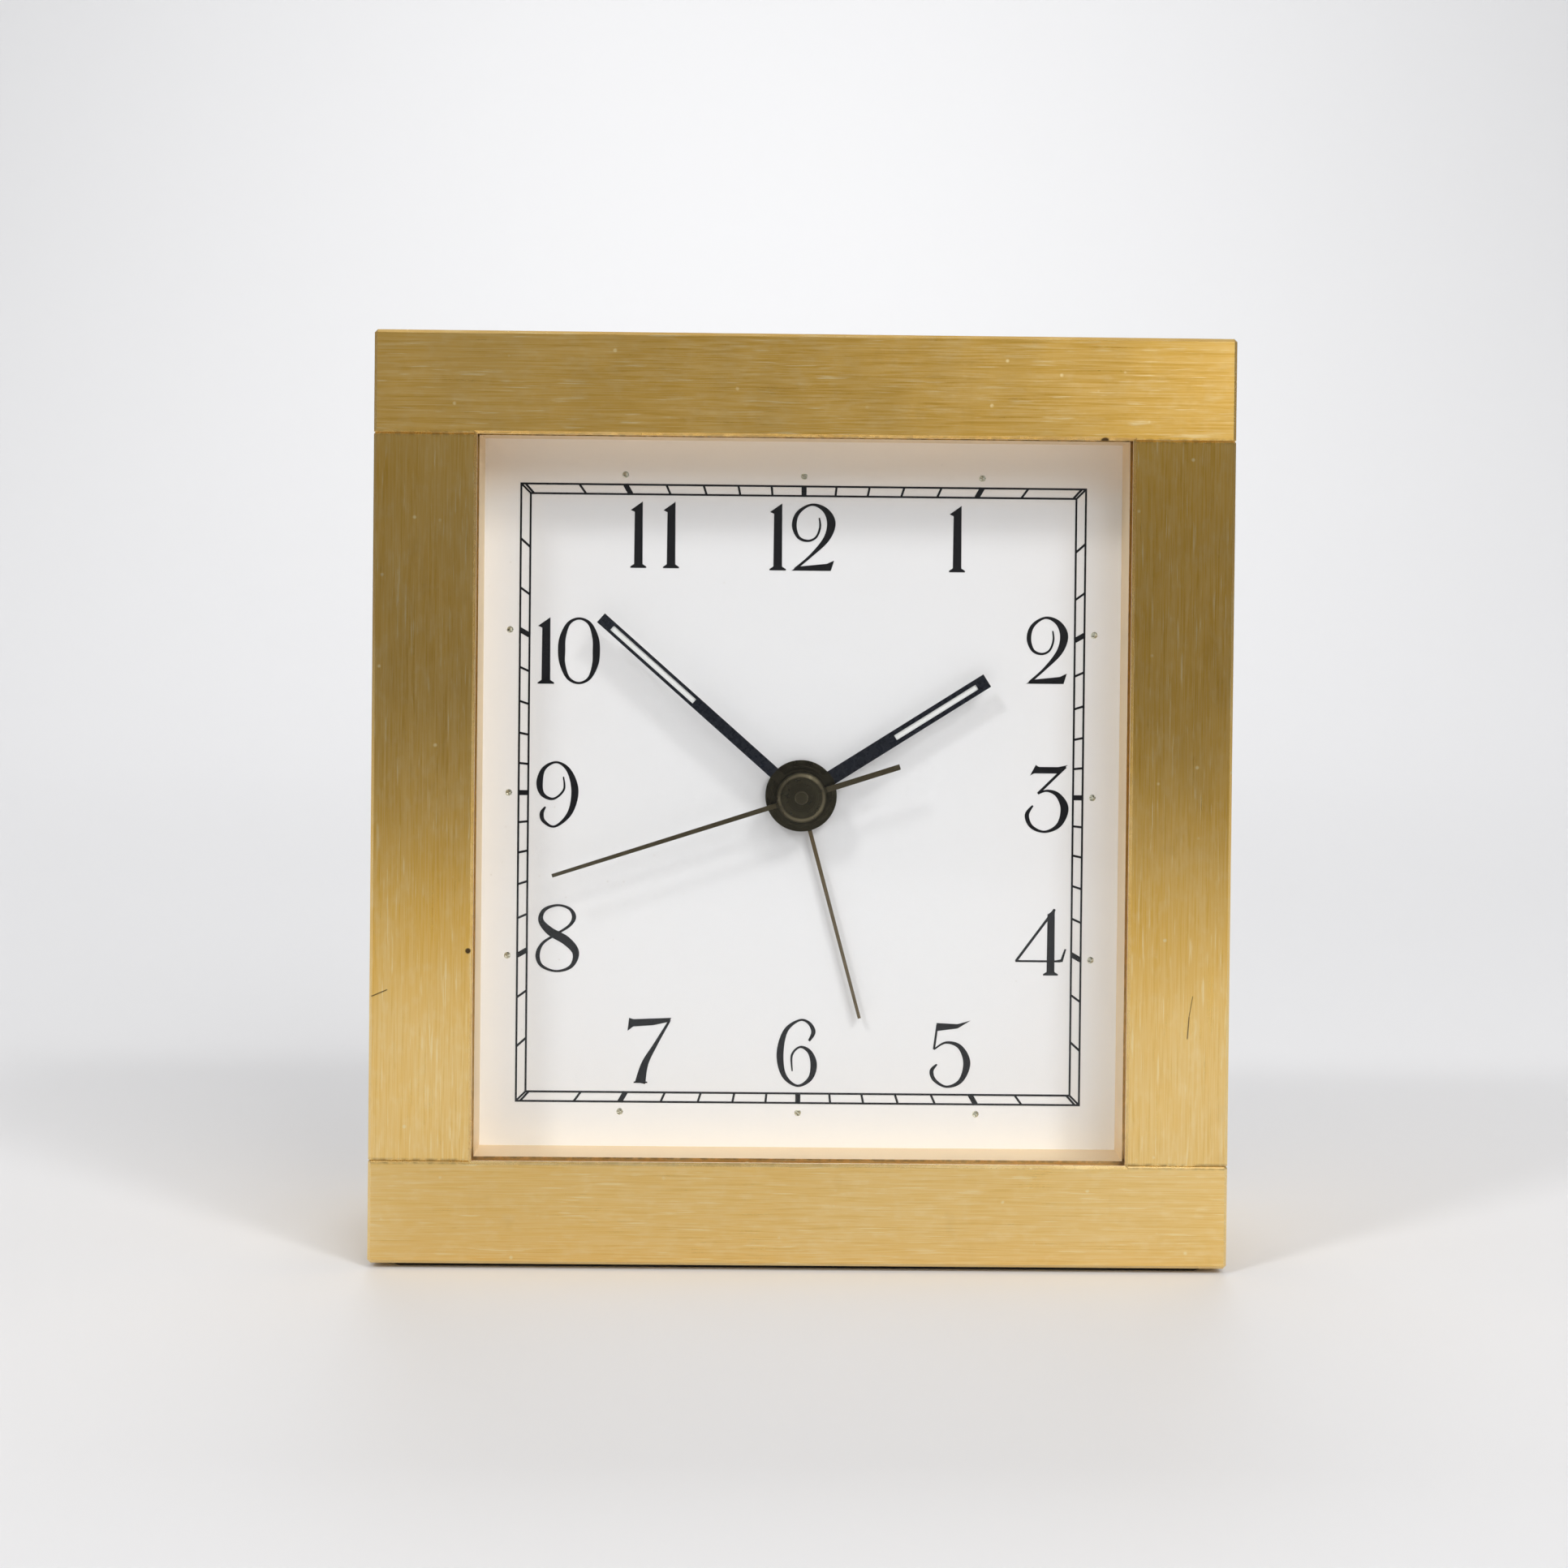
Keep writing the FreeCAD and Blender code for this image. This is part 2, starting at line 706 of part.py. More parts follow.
# Arbor that sets the alarm, with its wheel
def alarm_set_arbor():
    wheel_rear = alarm_level + wheel_thickness
    return joined(rod(set_arbor_radius, pivot_depth + end_play, alarm_level, alarm_set_centre),
                  wheel_disc(alarm_set_centre, alarm_pinion_teeth, alarm_module, alarm_set_phase,
                             alarm_level),
                  rod(set_arbor_radius, wheel_rear, knob_rear - knob_crown, alarm_set_centre))


# Fluted knob behind the back plate, pressed on its arbor
def setting_knob(centre):
    corners = ((knob_radius, 0), (knob_radius - knob_flute_depth, gap_share))
    body = prism(tooth_ring(centre, knob_flutes, 0, corners), knob_front, knob_rear)
    return without(body, rod(set_arbor_radius + press_gap, knob_front - overrun, knob_rear - knob_crown,
                             centre))


# Moulded housing: shell behind the dial, partition of the battery bay, pillars, posts and pivot holes
def housing():
    shell = block(-housing_half_width, housing_half_width, housing_front, back_front,
                  -housing_half_height, housing_half_height)
    upper = block(-inner_half_width, inner_half_width, inner_front, back_front + overrun,
                  train_floor, inner_half_height)
    lower = block(-inner_half_width, inner_half_width, inner_front, back_front + overrun, bay_floor, bay_top)
    shell = without(shell, upper, lower)
    stands = []
    for centre in pillar_places:
        stands.append(square_bar(pillar_side, inner_front, bridge_front, centre))
        stands.append(square_bar(peg_side, bridge_front, bridge_rear, centre))
    for centre in lug_places:
        stands.append(square_bar(pillar_side, inner_front, stator_front, centre))
        stands.append(square_bar(peg_side, stator_front, core_rear, centre))
    for centre, level in ((third_centre, centre_level), (intermediate_centre, seconds_level)):
        stands.append(square_bar(post_foot, inner_front, level - end_play, centre))
        stands.append(rod(post_radius, level - end_play, bridge_front, centre))
    tools = [rod(alarm_pipe_radius + running_fit, housing_front - overrun, inner_front + overrun)]
    tools.append(rod(post_radius + running_fit, pivot_depth, inner_front + overrun, rotor_centre))
    tools += [rod(set_arbor_radius + running_fit, pivot_depth, inner_front + overrun, centre)
              for centre in (minute_wheel_centre, alarm_set_centre)]
    for side in (-1, 1):
        outer = side * inner_half_width
        inner = side * (inner_half_width - contact_thickness - slide_fit)
        tools.append(block(min(outer, inner), max(outer, inner), board_rear - slide_fit,
                           board_rear + tongue_width + slide_fit, bay_top - overrun, train_floor + overrun))
    return without(joined(shell, *stands), *tools)


# Bridge over the wheel work, on the pegs of the housing, with the rear pivot holes and two windows
def train_bridge():
    plate = block(-bridge_half_width, bridge_half_width, bridge_front, bridge_rear, bridge_bottom,
                  bridge_top)
    middle_y = front_y + (bridge_front + bridge_rear) / 2
    plate = plate.makeChamfer(bridge_corner,
                              edges_where(plate, lambda middle: abs(middle.y - middle_y) < end_play))
    front = bridge_front - overrun
    rear = bridge_rear + overrun
    tools = [square_bar(peg_side + 2 * press_gap, front, rear, centre) for centre in pillar_places]
    tools.append(rod(seconds_arbor_radius + running_fit, front, rear))
    tools.append(rod(post_radius + running_fit, front, rear, rotor_centre))
    tools += [square_bar(2 * (set_arbor_radius + wheel_room), front, rear, centre)
              for centre in (minute_wheel_centre, alarm_set_centre)]
    return without(plate, *tools)


def stator():
    outline = [(stator_left + x * stator_width, stator_bottom + z * stator_height) for x, z in stator_shares]
    plate = prism(outline, stator_front, stator_rear)
    tools = [rod(magnet_radius + magnet_gap, stator_front - overrun, stator_rear + overrun, rotor_centre)]
    tools += [square_bar(peg_side + 2 * press_gap, stator_front - overrun, stator_rear + overrun, centre)
              for centre in lug_places]
    return without(plate, *tools)


def coil_core():
    strip = block(lug_places[0][0], lug_places[1][0], stator_rear, core_rear,
                  core_height - core_width / 2, core_height + core_width / 2)
    lugs = [square_bar(lug_side, stator_rear, core_rear, centre) for centre in lug_places]
    pegs = [square_bar(peg_side + 2 * press_gap, stator_rear - overrun, core_rear + overrun, centre)
            for centre in lug_places]
    return without(joined(strip, *lugs), *pegs)


# Block along X round the core of the coil
def round_core(left, right, half_depth, half_height):
    return block(left, right, coil_depth - half_depth, coil_depth + half_depth,
                 core_height - half_height, core_height + half_height)


def coil_bobbin():
    tube = round_core(coil_left, coil_right, tube_half_depth, tube_half_height)
    flanges = [round_core(left, left + bobbin_flange, flange_half, flange_half)
               for left in (coil_left, coil_right - bobbin_flange)]
    core = round_core(coil_left - overrun, coil_right + overrun, stator_thickness / 2, core_width / 2)
    return without(joined(tube, *flanges), core)


def coil_winding():
    left = coil_left + bobbin_flange
    right = coil_right - bobbin_flange
    half = flange_half - winding_room
    wire = round_core(left, right, half, half)
    middle_x = (left + right) / 2
    wire = wire.makeChamfer(winding_corner,
                            edges_where(wire, lambda middle: abs(middle.x - middle_x) < end_play))
    return without(wire, round_core(left - overrun, right + overrun, tube_half_depth, tube_half_height))


def circuit_board():
    return block(-board_half_width, board_half_width, bridge_rear, board_rear, board_bottom, board_top)


def quartz_crystal():
    return cross_rod(crystal_radius, -component_place - crystal_length / 2,
                     crystal_length / 2 - component_place,
                     board_rear + crystal_radius, board_middle)


def control_chip():
    half = chip_side / 2
    chip = block(component_place - half, component_place + half, board_rear, board_rear + chip_height,
                 board_middle - half, board_middle + half)
    rear_y = front_y + board_rear + chip_height
    return chip.makeChamfer(chip_corner, edges_where(chip, lambda middle: abs(middle.y - rear_y) < end_play))


# Spring leaf on the board that the alarm switch slides over
def alarm_switch_contact():
    top = back_front - 2 * slide_fit - switch_flange_thickness
    left = -leaf_length / 2
    bottom = switch_rise - leaf_width / 2
    sizes = ((left, -left, board_rear, board_rear + leaf_thickness),
             (left, left + leaf_thickness, board_rear, top),
             (left, leaf_length / 4, top - leaf_thickness, top))
    return joined(*[block(start, end, front, rear, bottom, bottom + leaf_width) for start, end, front,
                    rear in sizes])


def sounder():
    return rod(sounder_radius, back_front - sounder_thickness, back_front, sounder_centre)


def battery():
    right = inner_half_width - contact_thickness - nub_height
    left = right - (battery_length - nub_height)
    return joined(cross_rod(battery_radius, left, right, battery_depth, battery_height),
                  cross_rod(nub_radius, right, right + nub_height, battery_depth, battery_height))


# Sheet contact at one end of the bay, with a tongue up to the circuit board
def battery_contact(side):
    outer = side * inner_half_width
    inner = side * (inner_half_width - contact_thickness)
    left = min(outer, inner)
    right = max(outer, inner)
    foot_top = board_middle + tongue_foot
    board_edge = side * (board_half_width - tongue_foot)
    plate = block(left, right, battery_depth - contact_half_width, battery_depth + contact_half_width,
                  battery_height - contact_half_height, battery_height + contact_half_height)
    neck = block(left, right, battery_depth, board_rear + tongue_width,
                 battery_height + contact_half_height / 2, battery_height + contact_half_height)
    tongue = block(left, right, board_rear, board_rear + tongue_width, battery_height, foot_top)
    foot = block(min(outer, board_edge), max(outer, board_edge), board_rear, board_rear + contact_thickness,
                 board_middle, foot_top)
    return joined(plate, neck, tongue, foot)


# Contact at the flat end of the battery, with a bent leaf that presses on it
def spring_contact():
    root = contact_thickness - inner_half_width
    crest = root + spring_room
    leaf = [(root, -spring_rise), (crest, -spring_flat), (crest, spring_flat),
            (root + spring_room / 2, spring_rise),
            (root + spring_room / 2 - contact_thickness, spring_rise), (crest - contact_thickness,
                                                                        spring_flat),
            (crest - contact_thickness, -spring_flat), (root, contact_thickness - spring_rise)]
    front = battery_depth - spring_width / 2
    bent = prism([(x, battery_height + z) for x, z in leaf], front, front + spring_width)
    return joined(battery_contact(-1), bent)


# Back plate with the window of the battery cover, the sound slots and the slot of the alarm switch
def back_plate():
    plate = block(-back_half_width, back_half_width, back_front, back_rear, -back_half_height,
                  back_half_height)
    front = back_front - overrun
    rear = back_rear + overrun
    tools = [block(-window_half_width, window_half_width, front, rear, window_bottom, window_top)]
    tools += [rod(set_arbor_radius + running_fit, front, rear, centre)
              for centre in (minute_wheel_centre, alarm_set_centre)]
    tools.append(rod(plate_screw_radius + slide_fit, front, rear, plate_screw_place))
    for slot in range(sound_slot_count):
        middle = sounder_rise + (slot - (sound_slot_count - 1) / 2) * sound_slot_pitch
        tools.append(block(-sound_slot_length / 2, sound_slot_length / 2, front, rear,
                           middle - sound_slot_height / 2, middle + sound_slot_height / 2))
    slot_half = (switch_stem_length + switch_travel) / 2 + slide_fit
    tools.append(block(-slot_half, slot_half, front, rear, switch_rise - switch_stem_height / 2 - slide_fit,
                       switch_rise + switch_stem_height / 2 + slide_fit))
    return without(joined(plate, *plate_tongues(0)), *tools)


def back_plate_screw():
    return joined(rod(plate_screw_radius, back_front - plate_screw_length, back_rear, plate_screw_place),
                  rod(plate_screw_head, back_rear, back_rear + plate_screw_head_height, plate_screw_place))


# Cover of the battery bay, flush in the back plate, with hooks at its foot and ribs to push on
def battery_cover():
    half_width = window_half_width - cover_clearance
    bottom = window_bottom + cover_clearance
    top = window_top - cover_clearance
    pieces = [block(-half_width, half_width, back_front, back_rear, bottom, top)]
    rear = back_front - hook_gap
    for side in (-1, 1):
        left = side * hook_spacing / 2 - hook_width / 2
        right = left + hook_width
        pieces.append(block(left, right, rear - hook_thickness, rear, bottom - hook_length,
                            bottom + hook_width / 2))
        pieces.append(block(left, right, rear, back_front, bottom, bottom + hook_width / 2))
    for rib in range(grip_count):
        height = top - grip_pitch * (rib + 1)
        pieces.append(block(-grip_width / 2, grip_width / 2, back_rear, back_rear + grip_height,
                            height - grip_pitch / 4, height + grip_pitch / 4))
    return joined(*pieces)


# Alarm switch, drawn at the left end of its travel as the dial is read
def alarm_switch():
    middle = -switch_travel / 2
    flange_rear = back_front - slide_fit
    thumb_front = back_rear + slide_fit
    thumb_rear = thumb_front + switch_thumb_rise
    sizes = ((switch_flange_length, switch_flange_height, flange_rear - switch_flange_thickness,
              flange_rear),
             (switch_stem_length, switch_stem_height, flange_rear, thumb_front),
             (switch_thumb_length, switch_thumb_height, thumb_front, thumb_rear))
    pieces = [block(middle - length / 2, middle + length / 2, front, rear,
                    switch_rise - height / 2, switch_rise + height / 2)
              for length, height, front, rear in sizes]
    for ridge in range(switch_ridge_count):
        offset = (ridge - (switch_ridge_count - 1) / 2) * 2 * switch_ridge_width
        left = middle + offset - switch_ridge_width / 2
        pieces.append(block(left, left + switch_ridge_width, thumb_rear, thumb_rear + switch_ridge_height,
                            switch_rise - switch_thumb_height / 2, switch_rise + switch_thumb_height / 2))
    return joined(*pieces)


# Pieces that stay still
def fixed_nodes():
    return {
        "top_bar": cross_bar(1),
        "bottom_bar": cross_bar(-1),
        "left_bar": side_bar(-1),
        "right_bar": side_bar(1),
        "base_pad": base_pad(),
        "glass": glass(),
        "dial": dial(),
        "housing": housing(),
        "train_bridge": train_bridge(),
        "stator": stator(),
        "coil_core": coil_core(),
        "coil_bobbin": coil_bobbin(),
        "coil_winding": coil_winding(),
        "circuit_board": circuit_board(),
        "quartz_crystal": quartz_crystal(),
        "control_chip": control_chip(),
        "alarm_switch_contact": alarm_switch_contact(),
        "sounder": sounder(),
        "battery": battery(),
        "battery_positive_contact": battery_contact(1),
        "battery_negative_contact": spring_contact(),
        "back_plate": back_plate(),
        "back_plate_screw": back_plate_screw(),
    }


# Pieces that turn or slide
def moving_nodes():
    minute_hand = baton_hand(minute_hand_length, minute_hand_width, minute_hand_boss, cannon_radius,
                             minute_front,
                             minute_lume_start, minute_lume_end_room)
    hour_hand = baton_hand(hour_hand_length, hour_hand_width, hour_hand_boss, hour_pipe_radius, hour_front,
                           hour_lume_start, hour_lume_end_room)
    minute_lume = lume_strip(minute_hand_length, minute_front, minute_lume_start, minute_lume_end_room)
    hour_lume = lume_strip(hour_hand_length, hour_front, hour_lume_start, hour_lume_end_room)
    return {
        "seconds_hand": turned(seconds_hand(), seconds_angle),
        "seconds_hand_cap": seconds_hand_cap(),
        "seconds_arbor": seconds_arbor(),
        "third_wheel": third_wheel(),
        "centre_wheel": centre_wheel(),
        "intermediate_wheel": intermediate_wheel(),
        "rotor_arbor": rotor_arbor(),
        "rotor_magnet": rotor_magnet(),
        "minute_hand": turned(minute_hand, minute_angle),
        "minute_hand_lume": turned(minute_lume, minute_angle),
        "cannon_pinion": cannon_pinion(),
        "minute_wheel": minute_wheel(),
        "time_set_knob": setting_knob(minute_wheel_centre),
        "hour_hand": turned(hour_hand, hour_angle),
        "hour_hand_lume": turned(hour_lume, hour_angle),
        "hour_wheel": pipe_wheel(hour_wheel_teeth, hour_module, hour_phase, hour_level, hour_bore,
                                 hour_pipe_radius, hour_front),
        "alarm_hand": turned(alarm_hand(), alarm_angle),
        "alarm_wheel": pipe_wheel(alarm_wheel_teeth, alarm_module, 0, alarm_level, alarm_bore,
                                  alarm_pipe_radius, alarm_front),
        "alarm_set_arbor": alarm_set_arbor(),
        "alarm_set_knob": setting_knob(alarm_set_centre),
        "alarm_switch": alarm_switch(),
        "battery_cover": battery_cover(),
    }


# Write every node to its own file
os.makedirs("parts", exist_ok=True)
for name, shape in (fixed_nodes() | moving_nodes()).items():
    shape.exportStep("parts/" + name + ".step")
    print(name, "solids", len(shape.Solids), "volume", round(shape.Volume, 2), "valid", shape.isValid())
print("case", round(2 * case_half_width, 3), round(case_depth, 3), round(centre_z + case_half_height, 3))
print("knobs", [[round(value, 3) for value in centre] for centre in (minute_wheel_centre, alarm_set_centre)])
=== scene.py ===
import logging
import math
from dataclasses import dataclass
from enum import Enum
from typing import Callable, Dict, List, Optional, Sequence, Tuple, Union

import bmesh
import bpy
from mathutils import Matrix, Vector


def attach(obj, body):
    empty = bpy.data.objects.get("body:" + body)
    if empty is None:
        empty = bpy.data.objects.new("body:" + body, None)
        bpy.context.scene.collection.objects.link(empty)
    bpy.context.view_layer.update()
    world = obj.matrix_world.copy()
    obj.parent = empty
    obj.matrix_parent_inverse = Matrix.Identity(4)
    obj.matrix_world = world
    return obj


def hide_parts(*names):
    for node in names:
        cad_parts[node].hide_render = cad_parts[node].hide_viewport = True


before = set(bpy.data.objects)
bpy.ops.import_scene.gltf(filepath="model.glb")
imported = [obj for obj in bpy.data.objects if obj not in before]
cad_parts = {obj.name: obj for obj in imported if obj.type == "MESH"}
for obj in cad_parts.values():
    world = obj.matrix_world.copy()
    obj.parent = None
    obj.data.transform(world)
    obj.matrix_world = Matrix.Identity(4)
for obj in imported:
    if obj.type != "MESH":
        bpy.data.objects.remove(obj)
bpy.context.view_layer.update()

LOG = logging.getLogger("pendulette")
MM = 0.001
MERGE = 0.0000005
NEAR_ZERO = 1e-9
WHOLE = 1000
LAYER_STEP = 0.02
LAYER_CYCLE = 9
MIDDLE = (0.0, 41.725)
OPENING_HALF = (29.0, 32.175)

Colour = Tuple[float, float, float]
Place = Tuple[float, float]
Point = Tuple[float, float, float]
Number = Union["Value", float]


class Grain(Enum):
    """Direction in which a metal face is brushed."""

    ALONG_X = (1.0, 0.0, 0.0)
    ALONG_Y = (0.0, 1.0, 0.0)
    ALONG_Z = (0.0, 0.0, 1.0)


class Value:
    """A number socket of a shader, with the operators of plain arithmetic."""

    def __init__(self, recipe: "Recipe", socket: bpy.types.NodeSocket) -> None:
        """Keep the recipe and the socket that carries the number."""
        self.recipe = recipe
        self.socket = socket

    def _math(self, operation: str, *others: Number) -> "Value":
        """Add one Math node.

        Args:
            operation: name of the operation.
            others: the operands after this one.

        Returns:
            The result of the operation.
        """
        inputs = dict(enumerate((self, *others)))
        made = self.recipe.node("ShaderNodeMath", {"operation": operation}, inputs)
        return Value(self.recipe, made.outputs[0])

    def __add__(self, other: Number) -> "Value":
        """Sum."""
        return self._math("ADD", other)

    __radd__ = __add__

    def __sub__(self, other: Number) -> "Value":
        """Difference."""
        return self._math("SUBTRACT", other)

    def __rsub__(self, other: float) -> "Value":
        """Difference, with the plain number first."""
        return (self * -1.0) + other

    def __mul__(self, other: Number) -> "Value":
        """Product."""
        return self._math("MULTIPLY", other)

    __rmul__ = __mul__

    def __truediv__(self, other: Number) -> "Value":
        """Quotient."""
        return self._math("DIVIDE", other)

    def __pow__(self, other: Number) -> "Value":
        """Power."""
        return self._math("POWER", other)

    def __abs__(self) -> "Value":
        """Size without its sign."""
        return self._math("ABSOLUTE")

    def sine(self) -> "Value":
        """Sine, of an angle in radians."""
        return self._math("SINE")

    def at_least(self, other: Number) -> "Value":
        """The larger of the two."""
        return self._math("MAXIMUM", other)

    def at_most(self, other: Number) -> "Value":
        """The smaller of the two."""
        return self._math("MINIMUM", other)

    def above(self, start: float, end: float) -> "Value":
        """Rise smoothly from 0 to 1.

        Args:
            start: value that gives 0.
            end: value that gives 1; less than start for a fall.

        Returns:
            The eased share.
        """
        settings = {"interpolation_type": "SMOOTHSTEP", "clamp": True}
        made = self.recipe.node("ShaderNodeMapRange", settings, {0: self, 1: start, 2: end, 3: 0.0, 4: 1.0})
        return Value(self.recipe, made.outputs[0])


class Nodes:
    """The nodes of one material or of the world."""

    def __init__(self, tree: bpy.types.NodeTree) -> None:
        """Keep the tree."""
        self.tree = tree

    def node(self, kind: str, settings: Dict[str, object],
             inputs: Dict[Union[int, str], object]) -> bpy.types.Node:
        """Add any node.

        Args:
            kind: the node's type.
            settings: properties, set before the sockets.
            inputs: value or link of each socket, by name or number.

        Returns:
            The new node.
        """
        made = self.tree.nodes.new(kind)
        for key, setting in settings.items():
            setattr(made, key, setting)
        for key, given in inputs.items():
            self.feed(made.inputs[key], given)
        return made

    def feed(self, socket: bpy.types.NodeSocket, given: object) -> None:
        """Set a socket, or link it.

        Args:
            socket: the input.
            given: a number, a colour, a Value or an output socket.
        """
        if isinstance(given, Value):
            given = given.socket
        if isinstance(given, bpy.types.NodeSocket):
            self.tree.links.new(given, socket)
        elif isinstance(given, tuple) and len(given) == 3 and socket.type == "RGBA":
            socket.default_value = (*given, 1.0)
        else:
            socket.default_value = given


class Recipe(Nodes):
    """The nodes of one material, with the patterns that finishes are made of."""

    def __init__(self, name: str) -> None:
        """Start an empty material with its output.

        Args:
            name: name of the material.
        """
        self.material = bpy.data.materials.new(name)
        self.material.use_nodes = True
        super().__init__(self.material.node_tree)
        self.tree.nodes.clear()
        self.out = self.node("ShaderNodeOutputMaterial", {}, {})

    def place(self) -> bpy.types.NodeSocket:
        """Find where a point lies on the piece.

        Returns:
            Object coordinates in millimetres.
        """
        coords = self.node("ShaderNodeTexCoord", {}, {}).outputs["Object"]
        settings = {"operation": "SCALE"}
        return self.node("ShaderNodeVectorMath", settings, {0: coords, "Scale": 1 / MM}).outputs[0]

    def axes(self, vector: bpy.types.NodeSocket) -> List[Value]:
        """Split a vector into its three numbers."""
        made = self.node("ShaderNodeSeparateXYZ", {}, {0: vector})
        return [Value(self, output) for output in made.outputs]

    def on_dial(self) -> Tuple[Value, Value, Value]:
        """Find where a point lies on the clock.

        Returns:
            Its X and Y, and its height from the middle of the dial, in millimetres.
        """
        x, y, height = self.axes(self.place())
        return (x, y, height - MIDDLE[1])

    def facing(self) -> List[Value]:
        """Find which way the surface looks.

        Returns:
            The three numbers of its direction, without sign.
        """
        normal = self.node("ShaderNodeNewGeometry", {}, {}).outputs["Normal"]
        return [abs(axis) for axis in self.axes(normal)]

    def stretched(self, stretch: Point) -> bpy.types.NodeSocket:
        """Object place, in millimetres, times a number for each axis."""
        made = self.node("ShaderNodeVectorMath", {"operation": "MULTIPLY"}, {0: self.place(), 1: stretch})
        return made.outputs[0]

    def even(self, scale: float, detail: float = 3.0) -> Value:
        """Soft noise with as many features per millimetre each way."""
        return self.noise((scale, scale, scale), detail)

    def noise(self, stretch: Point, detail: float = 3.0, rough: float = 0.55) -> Value:
        """Soft noise.

        Args:
            stretch: features per millimetre along each axis.
            detail: octaves.
            rough: strength of the finer octaves.

        Returns:
            Noise from 0 to 1.
        """
        inputs = {"Vector": self.stretched(stretch), "Scale": 1.0, "Detail": detail, "Roughness": rough}
        return Value(self, self.node("ShaderNodeTexNoise", {}, inputs).outputs[0])

    def cells(self, scale: float) -> Value:
        """Distance to the nearest of many scattered points, in cells."""
        inputs = {"Vector": self.stretched((scale, scale, scale)), "Scale": 1.0}
        return Value(self, self.node("ShaderNodeTexVoronoi", {}, inputs).outputs[0])

    def blend(self, share: Number, low: object, high: object) -> bpy.types.NodeSocket:
        """Mix two colours.

        Args:
            share: 0 for the first colour and 1 for the second.
            low: first colour or link.
            high: second colour or link.

        Returns:
            The mixed colour.
        """
        settings = {"data_type": "RGBA", "clamp_factor": True}
        made = self.node("ShaderNodeMix", settings, {0: share, 6: low, 7: high})
        return made.outputs[2]

    def bump(self, height: Value, distance: float, strength: float = 1.0) -> bpy.types.NodeSocket:
        """Relief.

        Args:
            height: height from 0 to 1.
            distance: depth in millimetres.
            strength: share of the relief that shows.

        Returns:
            The bent normal.
        """
        inputs = {"Height": height, "Distance": distance * MM, "Strength": strength}
        return self.node("ShaderNodeBump", {}, inputs).outputs[0]

    def finish(self, sockets: Dict[str, object], other: Optional[Dict[str, object]] = None,
               share: Number = 0.0) -> bpy.types.Material:
        """End with one surface, or with a mix of two.

        Args:
            sockets: what feeds the surface.
            other: what feeds a second surface, or None.
            share: share of the second surface.

        Returns:
            The finished material.
        """
        surface = self.node("ShaderNodeBsdfPrincipled", {}, sockets).outputs[0]
        if other is not None:
            second = self.node("ShaderNodeBsdfPrincipled", {}, other).outputs[0]
            surface = self.node("ShaderNodeMixShader", {}, {0: share, 1: surface, 2: second}).outputs[0]
        self.feed(self.out.inputs[0], surface)
        return self.material


@dataclass(frozen=True)
class Band:
    """Two levels of a value, between which it rises from 0 to the share."""

    start: float
    end: float
    share: float = 1.0

    def of(self, value: Value) -> Value:
        """The eased share of a value."""
        eased = value.above(self.start, self.end)
        return eased if self.share == 1.0 else eased * self.share


@dataclass(frozen=True)
class Scratch:
    """One mark on a brass face, from one place to another, in millimetres from the middle of the dial."""

    start: Place
    end: Place
    width: float


@dataclass(frozen=True)
class Fleck:
    """A dark spot on a brass face: place in millimetres, height from the middle of the dial, and radius."""

    place: Point
    radius: float
    core: float = 0.6


@dataclass(frozen=True)
class Brushing:
    """One set of brushed lines: lines per millimetre, changes per millimetre on a line, and weight."""

    across: float
    along: float
    weight: float = 1.0


@dataclass(frozen=True)
class Spot:
    """Where a point of a bar lies, in millimetres from the middle of the dial, and which way it looks."""

    x: Value
    y: Value
    z: Value
    nx: Value
    ny: Value
    nz: Value


@dataclass(frozen=True)
class Wear:
    """The patterns that colour, gloss and relief of a bar share."""

    edge: Value
    lines: Value
    mottle: Value
    scuffs: Value
    stain: Value
    pits: Value
    glints: Value
    seam: Value
    wall_reflection: Value
    marks: Optional[Value]


